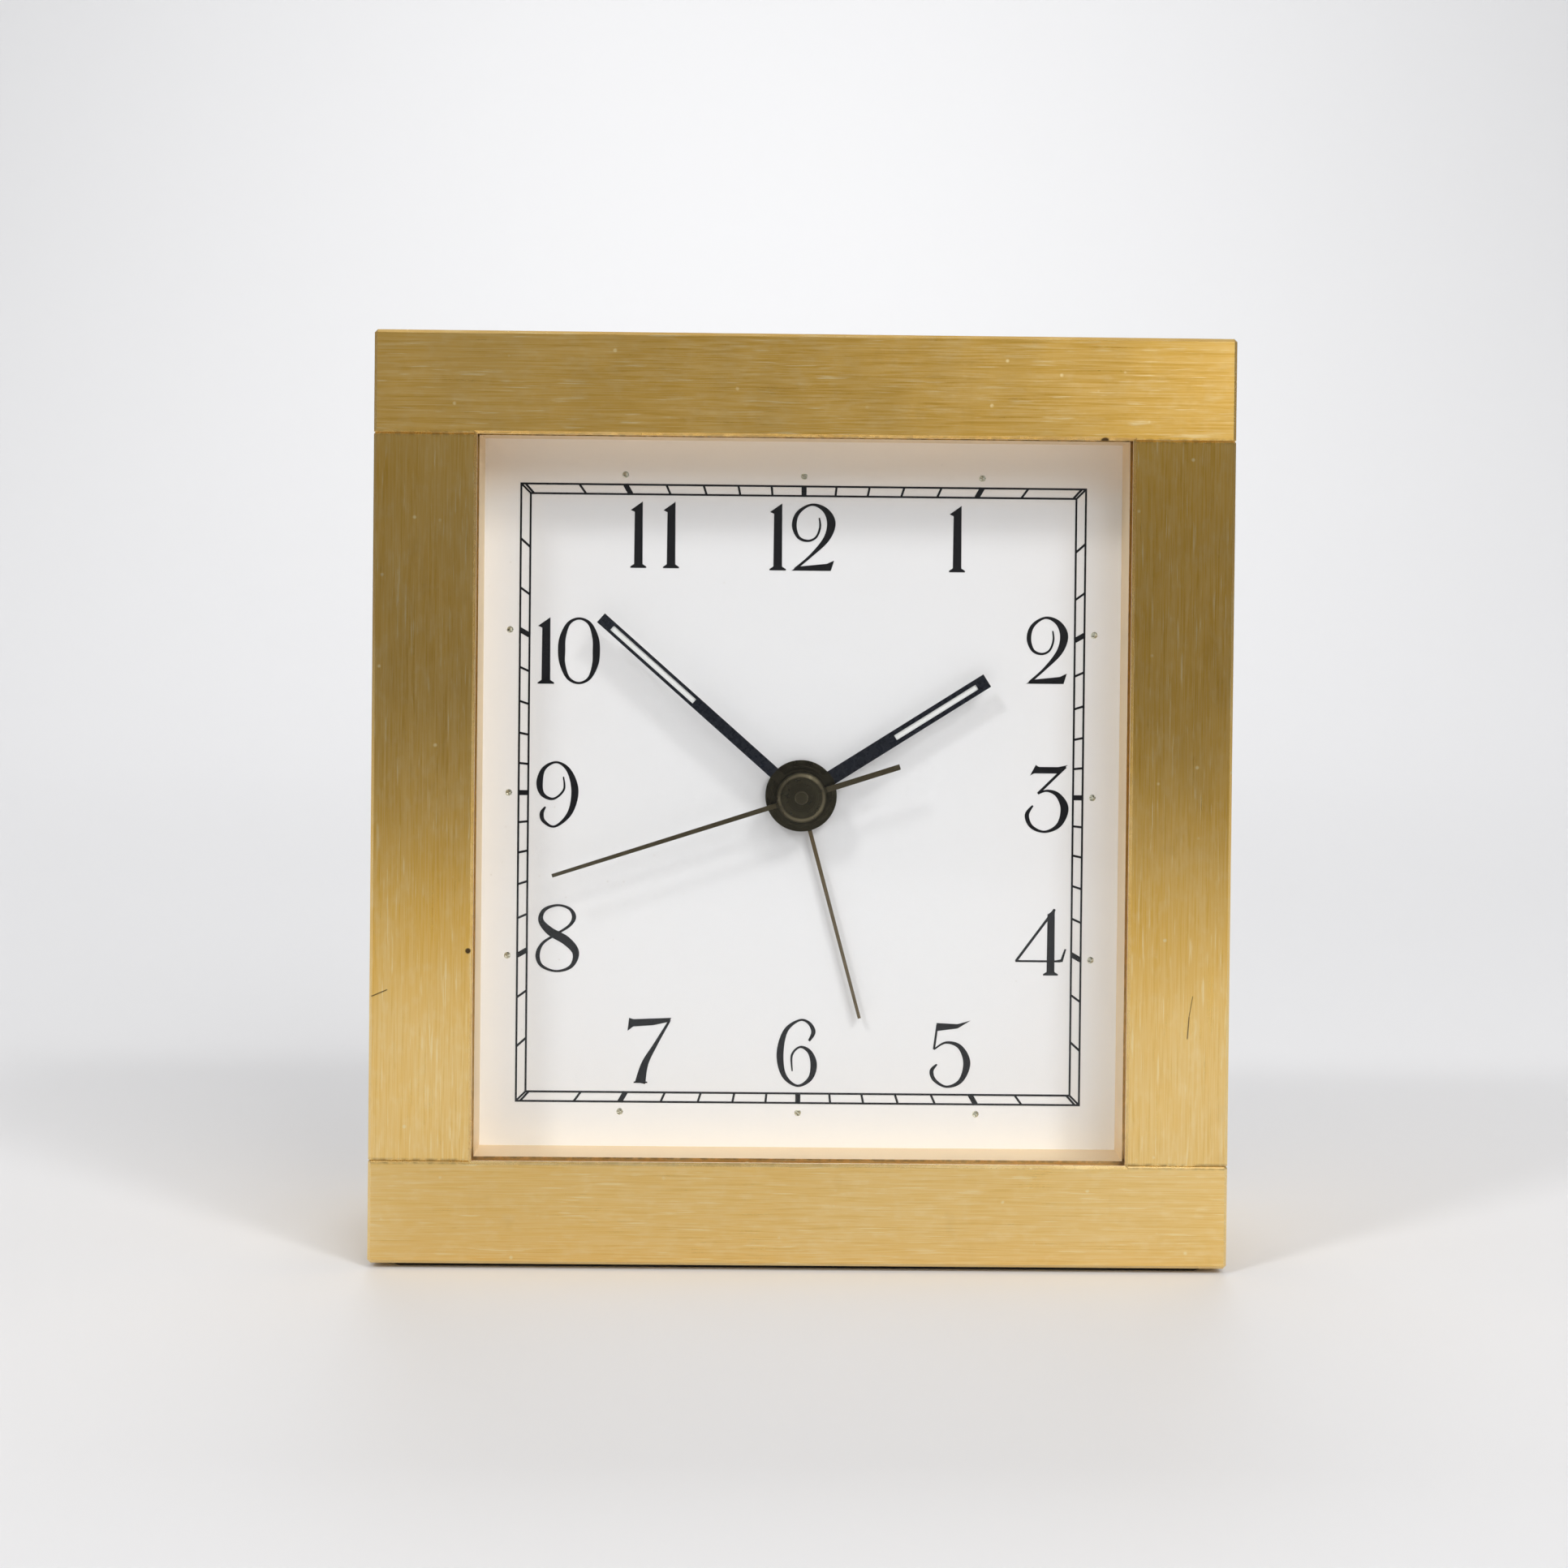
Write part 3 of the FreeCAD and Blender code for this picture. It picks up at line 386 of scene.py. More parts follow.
@dataclass(frozen=True)
class BrushedBrass:
    """Solid brass, brushed along a bar, with grime in the seams and a few marks; painted reflection makes
    the inner walls and the lower part paler, painted glints add pale flecks, and a painted highlight joins
    the rubbed wear on the edges.
    """

    name: str
    grain: Grain
    colour: Colour = (0.84, 0.495, 0.092)
    pale: Colour = (0.94, 0.72, 0.35)
    stain: Colour = (0.46, 0.25, 0.045)
    grime: Colour = (0.10, 0.065, 0.03)
    # wall: painted reflection, a pale tone for the white dial mirrored in the inner walls
    wall_reflection: Colour = (0.92, 0.80, 0.62)
    # glint: painted glints, pale flecks for the sparkle of the brushed brass
    glint: Colour = (0.96, 0.84, 0.50)
    roughness: float = 0.31
    smoothest: float = 0.12
    roughest: float = 0.7
    anisotropy: float = 0.75
    relief: float = 0.006
    relief_strength: float = 0.45
    marks: Tuple[Scratch, ...] = ()
    flecks: Tuple[Fleck, ...] = ()
    opening_half: Place = OPENING_HALF
    fine: Brushing = Brushing(6.5, 0.16, 0.42)
    coarse: Brushing = Brushing(1.7, 0.05, 0.10)
    hair: Brushing = Brushing(13.0, 0.30, 0.48)
    scuffing: Brushing = Brushing(4.2, 0.22)
    mottling: Brushing = Brushing(1.5, 0.7)
    cloud_scale: float = 0.05
    stain_scale: Point = (0.16, 0.16, 0.11)
    pit_scale: float = 0.42
    patch_scale: float = 0.3
    crumb_scale: float = 1.3
    edge: Band = Band(0.95, 0.85)
    end_face: Band = Band(0.7, 0.8)
    level_face: Band = Band(0.70, 0.85)
    front_face: Band = Band(0.5, 0.9)
    inner_face: Band = Band(0.5, 0.2)
    scuff_patch: Band = Band(0.61, 0.70)
    scuff_hair: Band = Band(0.38, 0.56)
    pit: Band = Band(0.10, 0.03)
    pit_patch: Band = Band(0.46, 0.54)
    pale_lines: Band = Band(0.36, 0.66, 0.34)
    pale_mottle: Band = Band(0.45, 0.75, 0.16)
    pale_cloud: Band = Band(0.4, 0.7, 0.12)
    # painted reflection: the bars paler towards the bottom, where they mirror the floor
    painted_floor_reflection: Band = Band(-8.0, -26.0, 0.32)
    # edges paler: partly rubbed wear, partly a painted highlight on the polished chamfers
    edge_wear_and_highlight: float = 0.2
    pale_scuff: float = 0.6
    stain_cloud: Band = Band(0.56, 0.80, 0.26)
    stain_lines: Band = Band(0.46, 0.30, 0.17)
    glint_share: float = 0.6
    side_seam: Band = Band(0.30, 0.05, 0.4)
    side_end: Band = Band(0.0, -0.275)
    level_seam: Band = Band(0.38, 0.05)
    crumbs: Band = Band(0.32, 0.64)
    seam_share: float = 0.6
    beside: Band = Band(0.4, 0.1)
    wall_reflection_share: float = 0.8

    def streaks(self, recipe: Recipe, grain: Grain, brushing: Brushing) -> Value:
        """Lines of brushing, as noise from 0 to 1."""
        stretch = tuple(brushing.along if share else brushing.across for share in grain.value)
        return recipe.noise(stretch, detail=2.0, rough=0.5)

    def brushed(self, recipe: Recipe, brushing: Brushing, end: Optional[Value]) -> Value:
        """Lines along the bar, turned on the end of a bar that runs across.

        Args:
            recipe: the material.
            brushing: how fine the lines are.
            end: where the end of the bar is, or None.

        Returns:
            Noise from 0 to 1.
        """
        lines = self.streaks(recipe, self.grain, brushing)
        if end is None:
            return lines
        return lines + (self.streaks(recipe, Grain.ALONG_Y, brushing) - lines) * end

    def mark_mask(self, spot: Spot) -> Optional[Value]:
        """Where the marks and flecks lie.

        Args:
            spot: the point.

        Returns:
            Their mask, or None if there are none.
        """
        shapes = []
        for mark in self.marks:
            dx, dz = mark.end[0] - mark.start[0], mark.end[1] - mark.start[1]
            length = math.hypot(dx, dz)
            x, z = spot.x - mark.start[0], spot.z - mark.start[1]
            over = abs(x * (dx / length) + z * (dz / length) - length / 2) - length / 2
            side = abs(x * (dz / length) - z * (dx / length))
            shapes.append(side.above(mark.width, 0.0) * over.above(mark.width, -mark.width))
        for fleck in self.flecks:
            x, y, z = spot.x - fleck.place[0], spot.y - fleck.place[1], spot.z - fleck.place[2]
            far = (x ** 2 + y ** 2 + z ** 2) ** 0.5
            shapes.append(far.above(fleck.radius, fleck.radius * fleck.core))
        if not shapes:
            return None
        total = shapes[0]
        for shape in shapes[1:]:
            total = total.at_least(shape)
        return total

    def grimy(self, recipe: Recipe, spot: Spot) -> Value:
        """Grime between the bars and along the lip of the opening.

        Args:
            recipe: the material.
            spot: the point.

        Returns:
            Its mask.
        """
        side = self.side_seam.of(abs(abs(spot.x) - self.opening_half[0]))
        side = side * self.side_end.of(abs(spot.z) - self.opening_half[1])
        level = self.level_seam.of(abs(abs(spot.z) - self.opening_half[1]))
        crumbs = self.crumbs.of(recipe.even(self.crumb_scale, 4.0))
        return side.at_least(level) * crumbs * self.front_face.of(spot.ny)

    def reflecting_walls(self, spot: Spot) -> Value:
        """Where the inner walls of the opening are, which get a painted reflection of the white dial.

        Args:
            spot: the point.

        Returns:
            Their mask.
        """
        across = self.beside.of(abs(spot.x) - self.opening_half[0])
        upright = self.beside.of(abs(spot.z) - self.opening_half[1])
        return across * upright * self.inner_face.of(spot.ny)

    def worn(self, recipe: Recipe, spot: Spot) -> Wear:
        """Work out the patterns of a bar.

        Args:
            recipe: the material.
            spot: the point.

        Returns:
            The patterns.
        """
        end = self.end_face.of(spot.nx) if self.grain is Grain.ALONG_X else None
        fine, coarse, hair = (self.brushed(recipe, brushing, end)
                              for brushing in (self.fine, self.coarse, self.hair))
        lines = fine * self.fine.weight + coarse * self.coarse.weight + hair * self.hair.weight
        scuffs = self.scuff_patch.of(self.brushed(recipe, self.scuffing, end)) * self.scuff_hair.of(hair)
        pits = self.pit.of(recipe.cells(self.pit_scale))
        return Wear(
            edge=self.edge.of(spot.nx.at_least(spot.ny).at_least(spot.nz)), lines=lines,
            mottle=self.brushed(recipe, self.mottling, end), scuffs=scuffs,
            stain=recipe.noise(self.stain_scale, detail=4.0, rough=0.6), pits=pits,
            glints=pits * self.pit_patch.of(recipe.even(self.patch_scale)),
            seam=self.grimy(recipe, spot), wall_reflection=self.reflecting_walls(spot), marks=self.mark_mask(spot))

    def tone(self, recipe: Recipe, spot: Spot, wear: Wear) -> bpy.types.NodeSocket:
        """Colour of a bar.

        Args:
            recipe: the material.
            spot: the point.
            wear: its patterns.

        Returns:
            The mixed colour.
        """
        pale = self.pale_lines.of(wear.lines) + self.pale_mottle.of(wear.mottle)
        # painted reflection of the floor on the lower part of the bars
        pale = pale + self.pale_cloud.of(recipe.even(self.cloud_scale)) + self.painted_floor_reflection.of(spot.z)
        # rubbed wear and painted highlight on the edges
        pale = pale + wear.edge * self.edge_wear_and_highlight + wear.scuffs * self.pale_scuff
        stained = (self.stain_cloud.of(wear.stain) + self.stain_lines.of(wear.lines)) * (1 - wear.edge)
        tone = recipe.blend(pale.at_most(1.0), self.colour, self.pale)
        tone = recipe.blend(stained.at_most(1.0), tone, self.stain)
        # painted glints: pale flecks in patches of pits
        tone = recipe.blend(wear.glints * self.glint_share, tone, self.glint)
        tone = recipe.blend(wear.seam * self.seam_share, tone, self.grime)
        # painted reflection of the dial on the inner walls
        tone = recipe.blend(wear.wall_reflection * self.wall_reflection_share, tone, self.wall_reflection)
        return tone if wear.marks is None else recipe.blend(wear.marks, tone, self.grime)

    def build(self) -> bpy.types.Material:
        """Make the material.

        Returns:
            The finished material.
        """
        recipe = Recipe(self.name)
        spot = Spot(*recipe.on_dial(), *recipe.facing())
        wear = self.worn(recipe, spot)
        rough = self.roughness + (wear.lines - 0.5) * 0.16 + (wear.stain - 0.5) * 0.12
        rough = rough - wear.edge * 0.06 + wear.seam * 0.2 + wear.wall_reflection * 0.2 + wear.glints * 0.1
        relief = wear.lines + wear.scuffs * 0.4 - wear.pits * 0.3
        if wear.marks is not None:
            relief = relief - wear.marks * 2.0
        sockets = {"Base Color": self.tone(recipe, spot, wear), "Metallic": 1.0,
                   "Roughness": rough.at_least(self.smoothest).at_most(self.roughest),
                   "Normal": recipe.bump(relief, self.relief, self.relief_strength),
                   "Anisotropic": self.anisotropy,
                   "Anisotropic Rotation": 0.0 if self.grain is Grain.ALONG_Z else 0.25}
        return recipe.finish(sockets, {**sockets, "Anisotropic": 0.0}, self.level_face.of(spot.nz))


@dataclass(frozen=True)
class DialLacquer:
    """Matt white lacquer with a little dust; painted light makes it whitest beside the frame, and painted
    warm shade and brass reflection tint it at the top and faintly along the frame.
    """

    name: str = "dial_lacquer"
    colour: Colour = (0.89, 0.895, 0.905)
    # rim: painted light, a whiter tone beside the frame that makes up for the shade of the walls
    rim: Colour = (0.96, 0.955, 0.945)
    # painted shade and brass reflection: the warm tint near the frame, strongest under the top bar
    painted_warm_shade: Colour = (0.98, 0.83, 0.66)
    dust: Colour = (0.55, 0.50, 0.42)
    roughness: float = 0.46
    opening_half: Place = OPENING_HALF
    cloud_scale: float = 0.08
    dust_scale: float = 0.55
    skin_scale: float = 3.0
    painted_fill_band: Band = Band(6.4, 1.0)
    painted_shade_rim: Band = Band(6.4, 0.0, 0.05)
    painted_shade_top: Band = Band(6.4, 2.0, 0.55)
    dust_size: Band = Band(0.06, 0.03, 0.25)
    dust_patch: Band = Band(0.5, 0.62)

    def build(self) -> bpy.types.Material:
        """Make the material.

        Returns:
            The finished material.
        """
        recipe = Recipe(self.name)
        x, _, z = recipe.on_dial()
        top = self.opening_half[1] - z
        near = (self.opening_half[0] - abs(x)).at_most(self.opening_half[1] - abs(z))
        cloud = recipe.even(self.cloud_scale)
        # painted warm shade and brass reflection, mostly below the top bar and a little along the frame
        aged = (self.painted_shade_rim.of(near) + self.painted_shade_top.of(top)) * (cloud * 0.5 + 0.75)
        # painted light: whiter beside the frame walls
        tone = recipe.blend(self.painted_fill_band.of(near), self.colour, self.rim)
        tone = recipe.blend(aged.at_most(1.0), tone, self.painted_warm_shade)
        dust = self.dust_size.of(recipe.cells(self.dust_scale)) * self.dust_patch.of(cloud)
        skin = recipe.even(self.skin_scale, 2.0)
        return recipe.finish({"Base Color": recipe.blend(dust, tone, self.dust),
                              "Roughness": self.roughness + (skin - 0.5) * 0.14,
                              "Normal": recipe.bump(skin, 0.004, 0.4), "Specular IOR Level": 0.35})


@dataclass(frozen=True)
class HandLacquer:
    """Lacquer or plating on a hand, with a turned boss in the middle and a painted highlight ring on the
    bevelled rim of the boss.
    """

    name: str
    colour: Colour
    boss: Colour = (0.040, 0.035, 0.020)
    # rim: paler metal of the turned lines on the boss, also used for the painted highlight ring
    rim: Colour = (0.15, 0.128, 0.08)
    rim_radius: float = 2.02
    highlight_ring_width: float = 0.0
    boss_radius: float = 3.3
    boss_edge: float = 0.05
    boss_metallic: float = 0.9
    metallic: float = 0.0
    roughness: float = 0.34
    worn: float = 0.0
    ring_pitch: float = 34.0
    step_pitch: float = 5.2
    skin_scale: float = 2.2
    patch_scale: float = 0.35
    step: Band = Band(0.2, 0.9)
    worn_skin: Band = Band(0.55, 0.8)
    highlight_patch: Band = Band(0.36, 0.56, 0.7)

    def build(self) -> bpy.types.Material:
        """Make the material.

        Returns:
            The finished material.
        """
        recipe = Recipe(self.name)
        x, _, z = recipe.on_dial()
        radius = (x * x + z * z) ** 0.5
        on_boss = radius.above(self.boss_radius + self.boss_edge, self.boss_radius - self.boss_edge)
        rings = (radius * self.ring_pitch).sine() * 0.5 + 0.5
        steps = self.step.of((radius * self.step_pitch).sine()) * on_boss
        skin = recipe.even(self.skin_scale)
        polished = (rings * 0.10 + steps * 0.10) * on_boss + self.worn_skin.of(skin) * self.worn
        tone = recipe.blend(polished, recipe.blend(on_boss, self.colour, self.boss), self.rim)
        # painted highlight: a paler ring, in patches, along the bevelled rim
        if self.highlight_ring_width:
            turned = abs(radius - self.rim_radius).above(self.highlight_ring_width, self.highlight_ring_width * 0.35)
            uneven = self.highlight_patch.of(recipe.even(self.patch_scale)) + 0.3
            tone = recipe.blend(turned * uneven, tone, self.rim)
        relief = rings * on_boss * 0.4 + skin * 0.4 + steps * 0.2
        return recipe.finish({"Base Color": tone,
                              "Metallic": on_boss * (self.boss_metallic - self.metallic) + self.metallic,
                              "Roughness": self.roughness + (skin - 0.5) * 0.2 - on_boss * 0.04,
                              "Normal": recipe.bump(relief, 0.006, 0.5), "Specular IOR Level": 0.3})


@dataclass(frozen=True)
class Ink:
    """Printed ink with a slightly broken edge."""

    name: str
    colour: Colour
    roughness: float = 0.42
    skin_scale: float = 5.0
    thin: Band = Band(0.45, 0.8, 0.8)
    lift: float = 0.004
    gain: float = 1.4

    def build(self) -> bpy.types.Material:
        """Make the material.

        Returns:
            The finished material.
        """
        recipe = Recipe(self.name)
        skin = recipe.even(self.skin_scale)
        light = tuple(share * self.gain + self.lift for share in self.colour)
        return recipe.finish({"Base Color": recipe.blend(self.thin.of(skin), self.colour, light),
                              "Roughness": self.roughness + (skin - 0.5) * 0.2,
                              "Normal": recipe.bump(skin, 0.003, 0.4), "Specular IOR Level": 0.15})


@dataclass(frozen=True)
class LumePaint:
    """Grainy luminous paint."""

    name: str
    colour: Colour
    aged: Colour = (0.84, 0.85, 0.76)
    roughness: float = 0.72
    grain_scale: float = 14.0
    patch_scale: float = 0.7
    grainy: Band = Band(0.45, 0.8, 0.3)
    patchy: Band = Band(0.5, 0.8, 0.3)

    def build(self) -> bpy.types.Material:
        """Make the material.

        Returns:
            The finished material.
        """
        recipe = Recipe(self.name)
        grains = recipe.even(self.grain_scale)
        aged = self.grainy.of(grains) + self.patchy.of(recipe.even(self.patch_scale, 2.0))
        return recipe.finish({"Base Color": recipe.blend(aged, self.colour, self.aged),
                              "Roughness": self.roughness + (grains - 0.5) * 0.2,
                              "Normal": recipe.bump(grains, 0.006, 0.35)})


@dataclass(frozen=True)
class MouldedPlastic:
    """Moulded plastic with a spark-eroded skin and rubbed, paler spots."""

    name: str
    colour: Colour
    roughness: float = 0.5
    skin_scale: float = 5.0
    relief: float = 0.02
    rubbed: float = 0.25
    cloud_scale: float = 0.09
    smoothest: float = 0.15
    edge: Band = Band(0.96, 0.85, 0.4)
    cloudy: Band = Band(0.52, 0.75, 0.5)
    grainy: Band = Band(0.5, 0.8, 0.3)
    glossy: Band = Band(0.5, 0.8, 0.12)

    def build(self) -> bpy.types.Material:
        """Make the material.

        Returns:
            The finished material.
        """
        recipe = Recipe(self.name)
        skin = recipe.noise((self.skin_scale, self.skin_scale, self.skin_scale), detail=3.0, rough=0.6)
        cloud = recipe.even(self.cloud_scale, 4.0)
        nx, ny, nz = recipe.facing()
        pale = tuple(min(1.0, share * 1.5 + 0.02) for share in self.colour)
        worn = self.cloudy.of(cloud) + self.grainy.of(skin) + self.edge.of(nx.at_least(ny).at_least(nz))
        worn = (worn * self.rubbed * 2.0).at_most(1.0)
        rough = self.roughness + (skin - 0.5) * 0.3 - self.glossy.of(cloud)
        return recipe.finish({"Base Color": recipe.blend(worn, self.colour, pale),
                              "Roughness": rough.at_least(self.smoothest),
                              "Normal": recipe.bump(skin, self.relief, 0.7)})


@dataclass(frozen=True)
class WorkedMetal:
    """Sheet, turned or plated metal, darker below a given depth where there is one."""

    name: str
    colour: Colour
    grain: Grain = Grain.ALONG_X
    roughness: float = 0.32
    tarnish: float = 0.3
    sunk_below: float = 0.0
    sunk_rise: float = 0.15
    sunk_tone: Colour = (0.03, 0.03, 0.03)
    across: float = 6.0
    along: float = 0.3
    cloud_scale: float = 0.3
    smoothest: float = 0.1
    dull_share: float = 0.55
    cloudy: Band = Band(0.5, 0.8)
    lined: Band = Band(0.6, 0.3, 0.15)

    def build(self) -> bpy.types.Material:
        """Make the material.

        Returns:
            The finished material.
        """
        recipe = Recipe(self.name)
        stretch = tuple(self.along if share else self.across for share in self.grain.value)
        lines = recipe.noise(stretch, detail=2.0)
        cloud = recipe.even(self.cloud_scale, 4.0)
        dull = tuple(share * self.dull_share for share in self.colour)
        tone = recipe.blend(self.cloudy.of(cloud) * self.tarnish + self.lined.of(lines), self.colour, dull)
        rough = (self.roughness + (lines - 0.5) * 0.25 + (cloud - 0.5) * 0.15).at_least(self.smoothest)
        if self.sunk_below:
            _, y, _ = recipe.axes(recipe.place())
            # darker below the given depth
            sunk = y.above(self.sunk_below, self.sunk_below - self.sunk_rise)
            tone = recipe.blend(sunk * 0.85, tone, self.sunk_tone)
            rough = rough + sunk * 0.3
        return recipe.finish({"Base Color": tone, "Metallic": 1.0, "Roughness": rough,
                              "Normal": recipe.bump(lines, 0.006, 0.6)})


@dataclass(frozen=True)
class WoundWire:
    """Enamelled wire, wound round the core turn by turn, with painted shade in the grooves between the
    turns.
    """

    name: str = "coil_wire"
    colour: Colour = (0.50, 0.19, 0.07)
    # gap: painted shade, the dark grooves between the turns
    gap: Colour = (0.16, 0.05, 0.02)
    turns_per_mm: float = 7.0
    wander: float = 0.2

    def build(self) -> bpy.types.Material:
        """Make the material.

        Returns:
            The finished material.
        """
        recipe = Recipe(self.name)
        x, _, _ = recipe.axes(recipe.place())
        drift = recipe.even(0.4)
        turns = ((x + drift * self.wander) * (2 * math.pi * self.turns_per_mm)).sine() * 0.5 + 0.5
        # copper on the crown of each turn, painted shade in the groove between
        return recipe.finish({"Base Color": recipe.blend(turns, self.gap, self.colour), "Metallic": 0.7,
                              "Roughness": 0.3 + (drift - 0.5) * 0.2,
                              "Normal": recipe.bump(turns, 0.06, 0.8)})


@dataclass(frozen=True)
class ClearGlass:
    """Flat glass that lets the light through to the dial and mirrors a little of the room."""

    name: str = "clear_glass"
    colour: Colour = (0.97, 0.99, 0.985)
    smeared: Colour = (0.90, 0.92, 0.92)
    mirror: float = 0.02
    roughness: float = 0.04
    smear_scale: Point = (0.12, 0.3, 0.12)
    smear: Band = Band(0.50, 0.85)

    def build(self) -> bpy.types.Material:
        """Make the material.

        Returns:
            The finished material.
        """
        recipe = Recipe(self.name)
        smear = self.smear.of(recipe.noise(self.smear_scale, detail=4.0))
        return recipe.finish({"Base Color": recipe.blend(smear, self.colour, self.smeared), "Metallic": 1.0,
                              "Roughness": smear * 0.10 + self.roughness,
                              "Alpha": smear * 0.012 + self.mirror})


Finish = Union[BrushedBrass, DialLacquer, HandLacquer, LumePaint, MouldedPlastic, WorkedMetal, WoundWire,
               ClearGlass]


class Bench:
    """Modelling steps that every sub-assembly uses."""

    @staticmethod
    def alone(piece: Optional[bpy.types.Object] = None) -> None:
        """Deselect everything, then select and activate one piece.

        Args:
            piece: the piece, or None for nothing.
        """
        bpy.ops.object.select_all(action="DESELECT")
        if piece is not None:
            piece.select_set(True)
            bpy.context.view_layer.objects.active = piece

    @staticmethod
    def settle(piece: bpy.types.Object, name: str) -> bpy.types.Object:
        """Put a piece's place into its mesh and name it.

        Args:
            piece: the piece.
            name: its name from now on.

        Returns:
            The same piece.
        """
        Bench.alone(piece)
        bpy.ops.object.transform_apply(location=True, rotation=True, scale=True)
        piece.name = name
        piece.data.name = name
        return piece

    @staticmethod
    def edit_all(piece: bpy.types.Object) -> None:
        """Open a piece in edit mode with everything selected.

        Args:
            piece: the piece.
        """
        Bench.alone(piece)
        bpy.ops.object.mode_set(mode="EDIT")
        bpy.ops.mesh.select_all(action="SELECT")

    @staticmethod
    def outwards(piece: bpy.types.Object) -> None:
        """Merge doubles and turn every face outwards.

        Args:
            piece: the piece.
        """
        Bench.edit_all(piece)
        bpy.ops.mesh.remove_doubles(threshold=MERGE)
        bpy.ops.mesh.normals_make_consistent(inside=False)
        bpy.ops.object.mode_set(mode="OBJECT")

    @staticmethod
    def modified(piece: bpy.types.Object, kind: str, settings: Dict[str, object]) -> None:
        """Add one modifier and apply it.

        Args:
            piece: the piece.
            kind: the modifier's type.
            settings: its properties.
        """
        Bench.alone(piece)
        modifier = piece.modifiers.new(kind.title(), kind)
        for key, setting in settings.items():
            setattr(modifier, key, setting)
        bpy.ops.object.modifier_apply(modifier=modifier.name)

    @staticmethod
    def joined(pieces: Sequence[bpy.types.Object], name: str) -> bpy.types.Object:
        """Join pieces into one and name it.

        Args:
            pieces: two pieces or more.
            name: name of the one piece.

        Returns:
            The one piece.
        """
        Bench.alone(pieces[0])
        for piece in pieces:
            piece.select_set(True)
        bpy.ops.object.join()
        joined = bpy.context.view_layer.objects.active
        joined.name = name
        joined.data.name = name
        return joined

    @staticmethod
    def printed(name: str, outlines: Sequence[Sequence[Place]], base_y: float, layer: float,
                middle: Place, towards: float = -1.0) -> bpy.types.Object:
        """Flat shapes of ink on a face that looks along Y.

        Args:
            name: name of the piece.
            outlines: closed outlines, in millimetres from the middle.
            base_y: Y of the face, in millimetres.
            layer: thickness of the ink.
            middle: X and Z of the middle of the print.
            towards: -1 for a print on the front, 1 for one on the rear.

        Returns:
            The print, with its thickness.
        """
        mesh = bpy.data.meshes.new(name)
        work = bmesh.new()
        for number, outline in enumerate(outlines):
            corners = [work.verts.new((MM * (middle[0] + x), MM * base_y, MM * (middle[1] + z)))
                       for x, z in outline]
            face = work.faces.new(corners)
            thickness = layer * (1 + LAYER_STEP * (number % LAYER_CYCLE))
            grown = bmesh.ops.extrude_face_region(work, geom=[face])
            tops = [item for item in grown["geom"] if isinstance(item, bmesh.types.BMVert)]
            bmesh.ops.translate(work, verts=tops, vec=(0, MM * towards * thickness, 0))
        bmesh.ops.recalc_face_normals(work, faces=work.faces)
        work.to_mesh(mesh)
        work.free()
        piece = bpy.data.objects.new(name, mesh)
        bpy.context.scene.collection.objects.link(piece)
        return piece

    @staticmethod
    def dress(piece: bpy.types.Object, material: bpy.types.Material) -> None:
        """Give a piece one material all over."""
        piece.data.materials.clear()
        piece.data.materials.append(material)


@dataclass(frozen=True)
class Stroke:
    """A pen stroke: places and widths in thousandths of a numeral's height."""

    points: Tuple[Tuple[int, int, int], ...]
    straight: bool = False
    closed: bool = False
    weight: float = 1.14

    def smooth(self, steps: int = 7) -> List[Point]:
        """Points along the stroke's smooth line.

        Args:
            steps: points in each run.

        Returns:
            Places with their widths.
        """
        given = [(x / WHOLE, z / WHOLE, width / WHOLE) for x, z, width in self.points]
        if self.straight:
            return given
        count = len(given)
        runs = count if self.closed else count - 1
        found = []
        for run in range(runs):
            if self.closed:
                near = [given[(run + shift) % count] for shift in (-1, 0, 1, 2)]
            else:
                near = [given[max(0, min(count - 1, run + shift))] for shift in (-1, 0, 1, 2)]
            for step in range(steps):
                t = step / steps
                found.append(tuple(
                    0.5 * (2 * b + (c - a) * t + (2 * a - 5 * b + 4 * c - d) * t * t
                           + (3 * b - a - 3 * c + d) * t ** 3) for a, b, c, d in zip(*near)))
        if not self.closed:
            found.append(given[-1])
        return found

    def quads(self) -> List[List[Place]]:
        """Give the stroke its width.

        Returns:
            One outline for an open stroke, or a chain of four-sided ones for a closed one.
        """
        line = self.smooth()
        if self.closed:
            line.append(line[0])
        sides = []
        last = len(line) - 1
        for index, (x, z, width) in enumerate(line):
            before = line[last - 1] if self.closed and index == 0 else line[max(0, index - 1)]
            after = line[1] if self.closed and index == last else line[min(last, index + 1)]
            dx, dz = after[0] - before[0], after[1] - before[1]
            length = math.hypot(dx, dz) or 1.0
            half = width * self.weight / 2
            across = (-dz / length * half, dx / length * half)
            sides.append(((x + across[0], z + across[1]), (x - across[0], z - across[1])))
        if self.closed:
            return [[first[0], first[1], second[1], second[0]] for first, second in zip(sides, sides[1:])]
        return [[left for left, _ in sides] + [right for _, right in reversed(sides)]]


@dataclass(frozen=True)
class Numeral:
    """One figure of the dial, as strokes and solid wedges in thousandths of its height."""

    strokes: Tuple[Stroke, ...] = ()
    wedges: Tuple[Tuple[Tuple[int, int], ...], ...] = ()

    def outlines(self, left: float) -> List[List[Place]]:
        """Outlines of the figure.

        Args:
            left: left end, as a share of the height.

        Returns:
            Closed outlines in shares of the height.
        """
        shares = [[(x / WHOLE, z / WHOLE) for x, z in wedge] for wedge in self.wedges]
        for stroke in self.strokes:
            shares.extend(stroke.quads())
        return [[(left + x, z) for x, z in outline] for outline in shares]


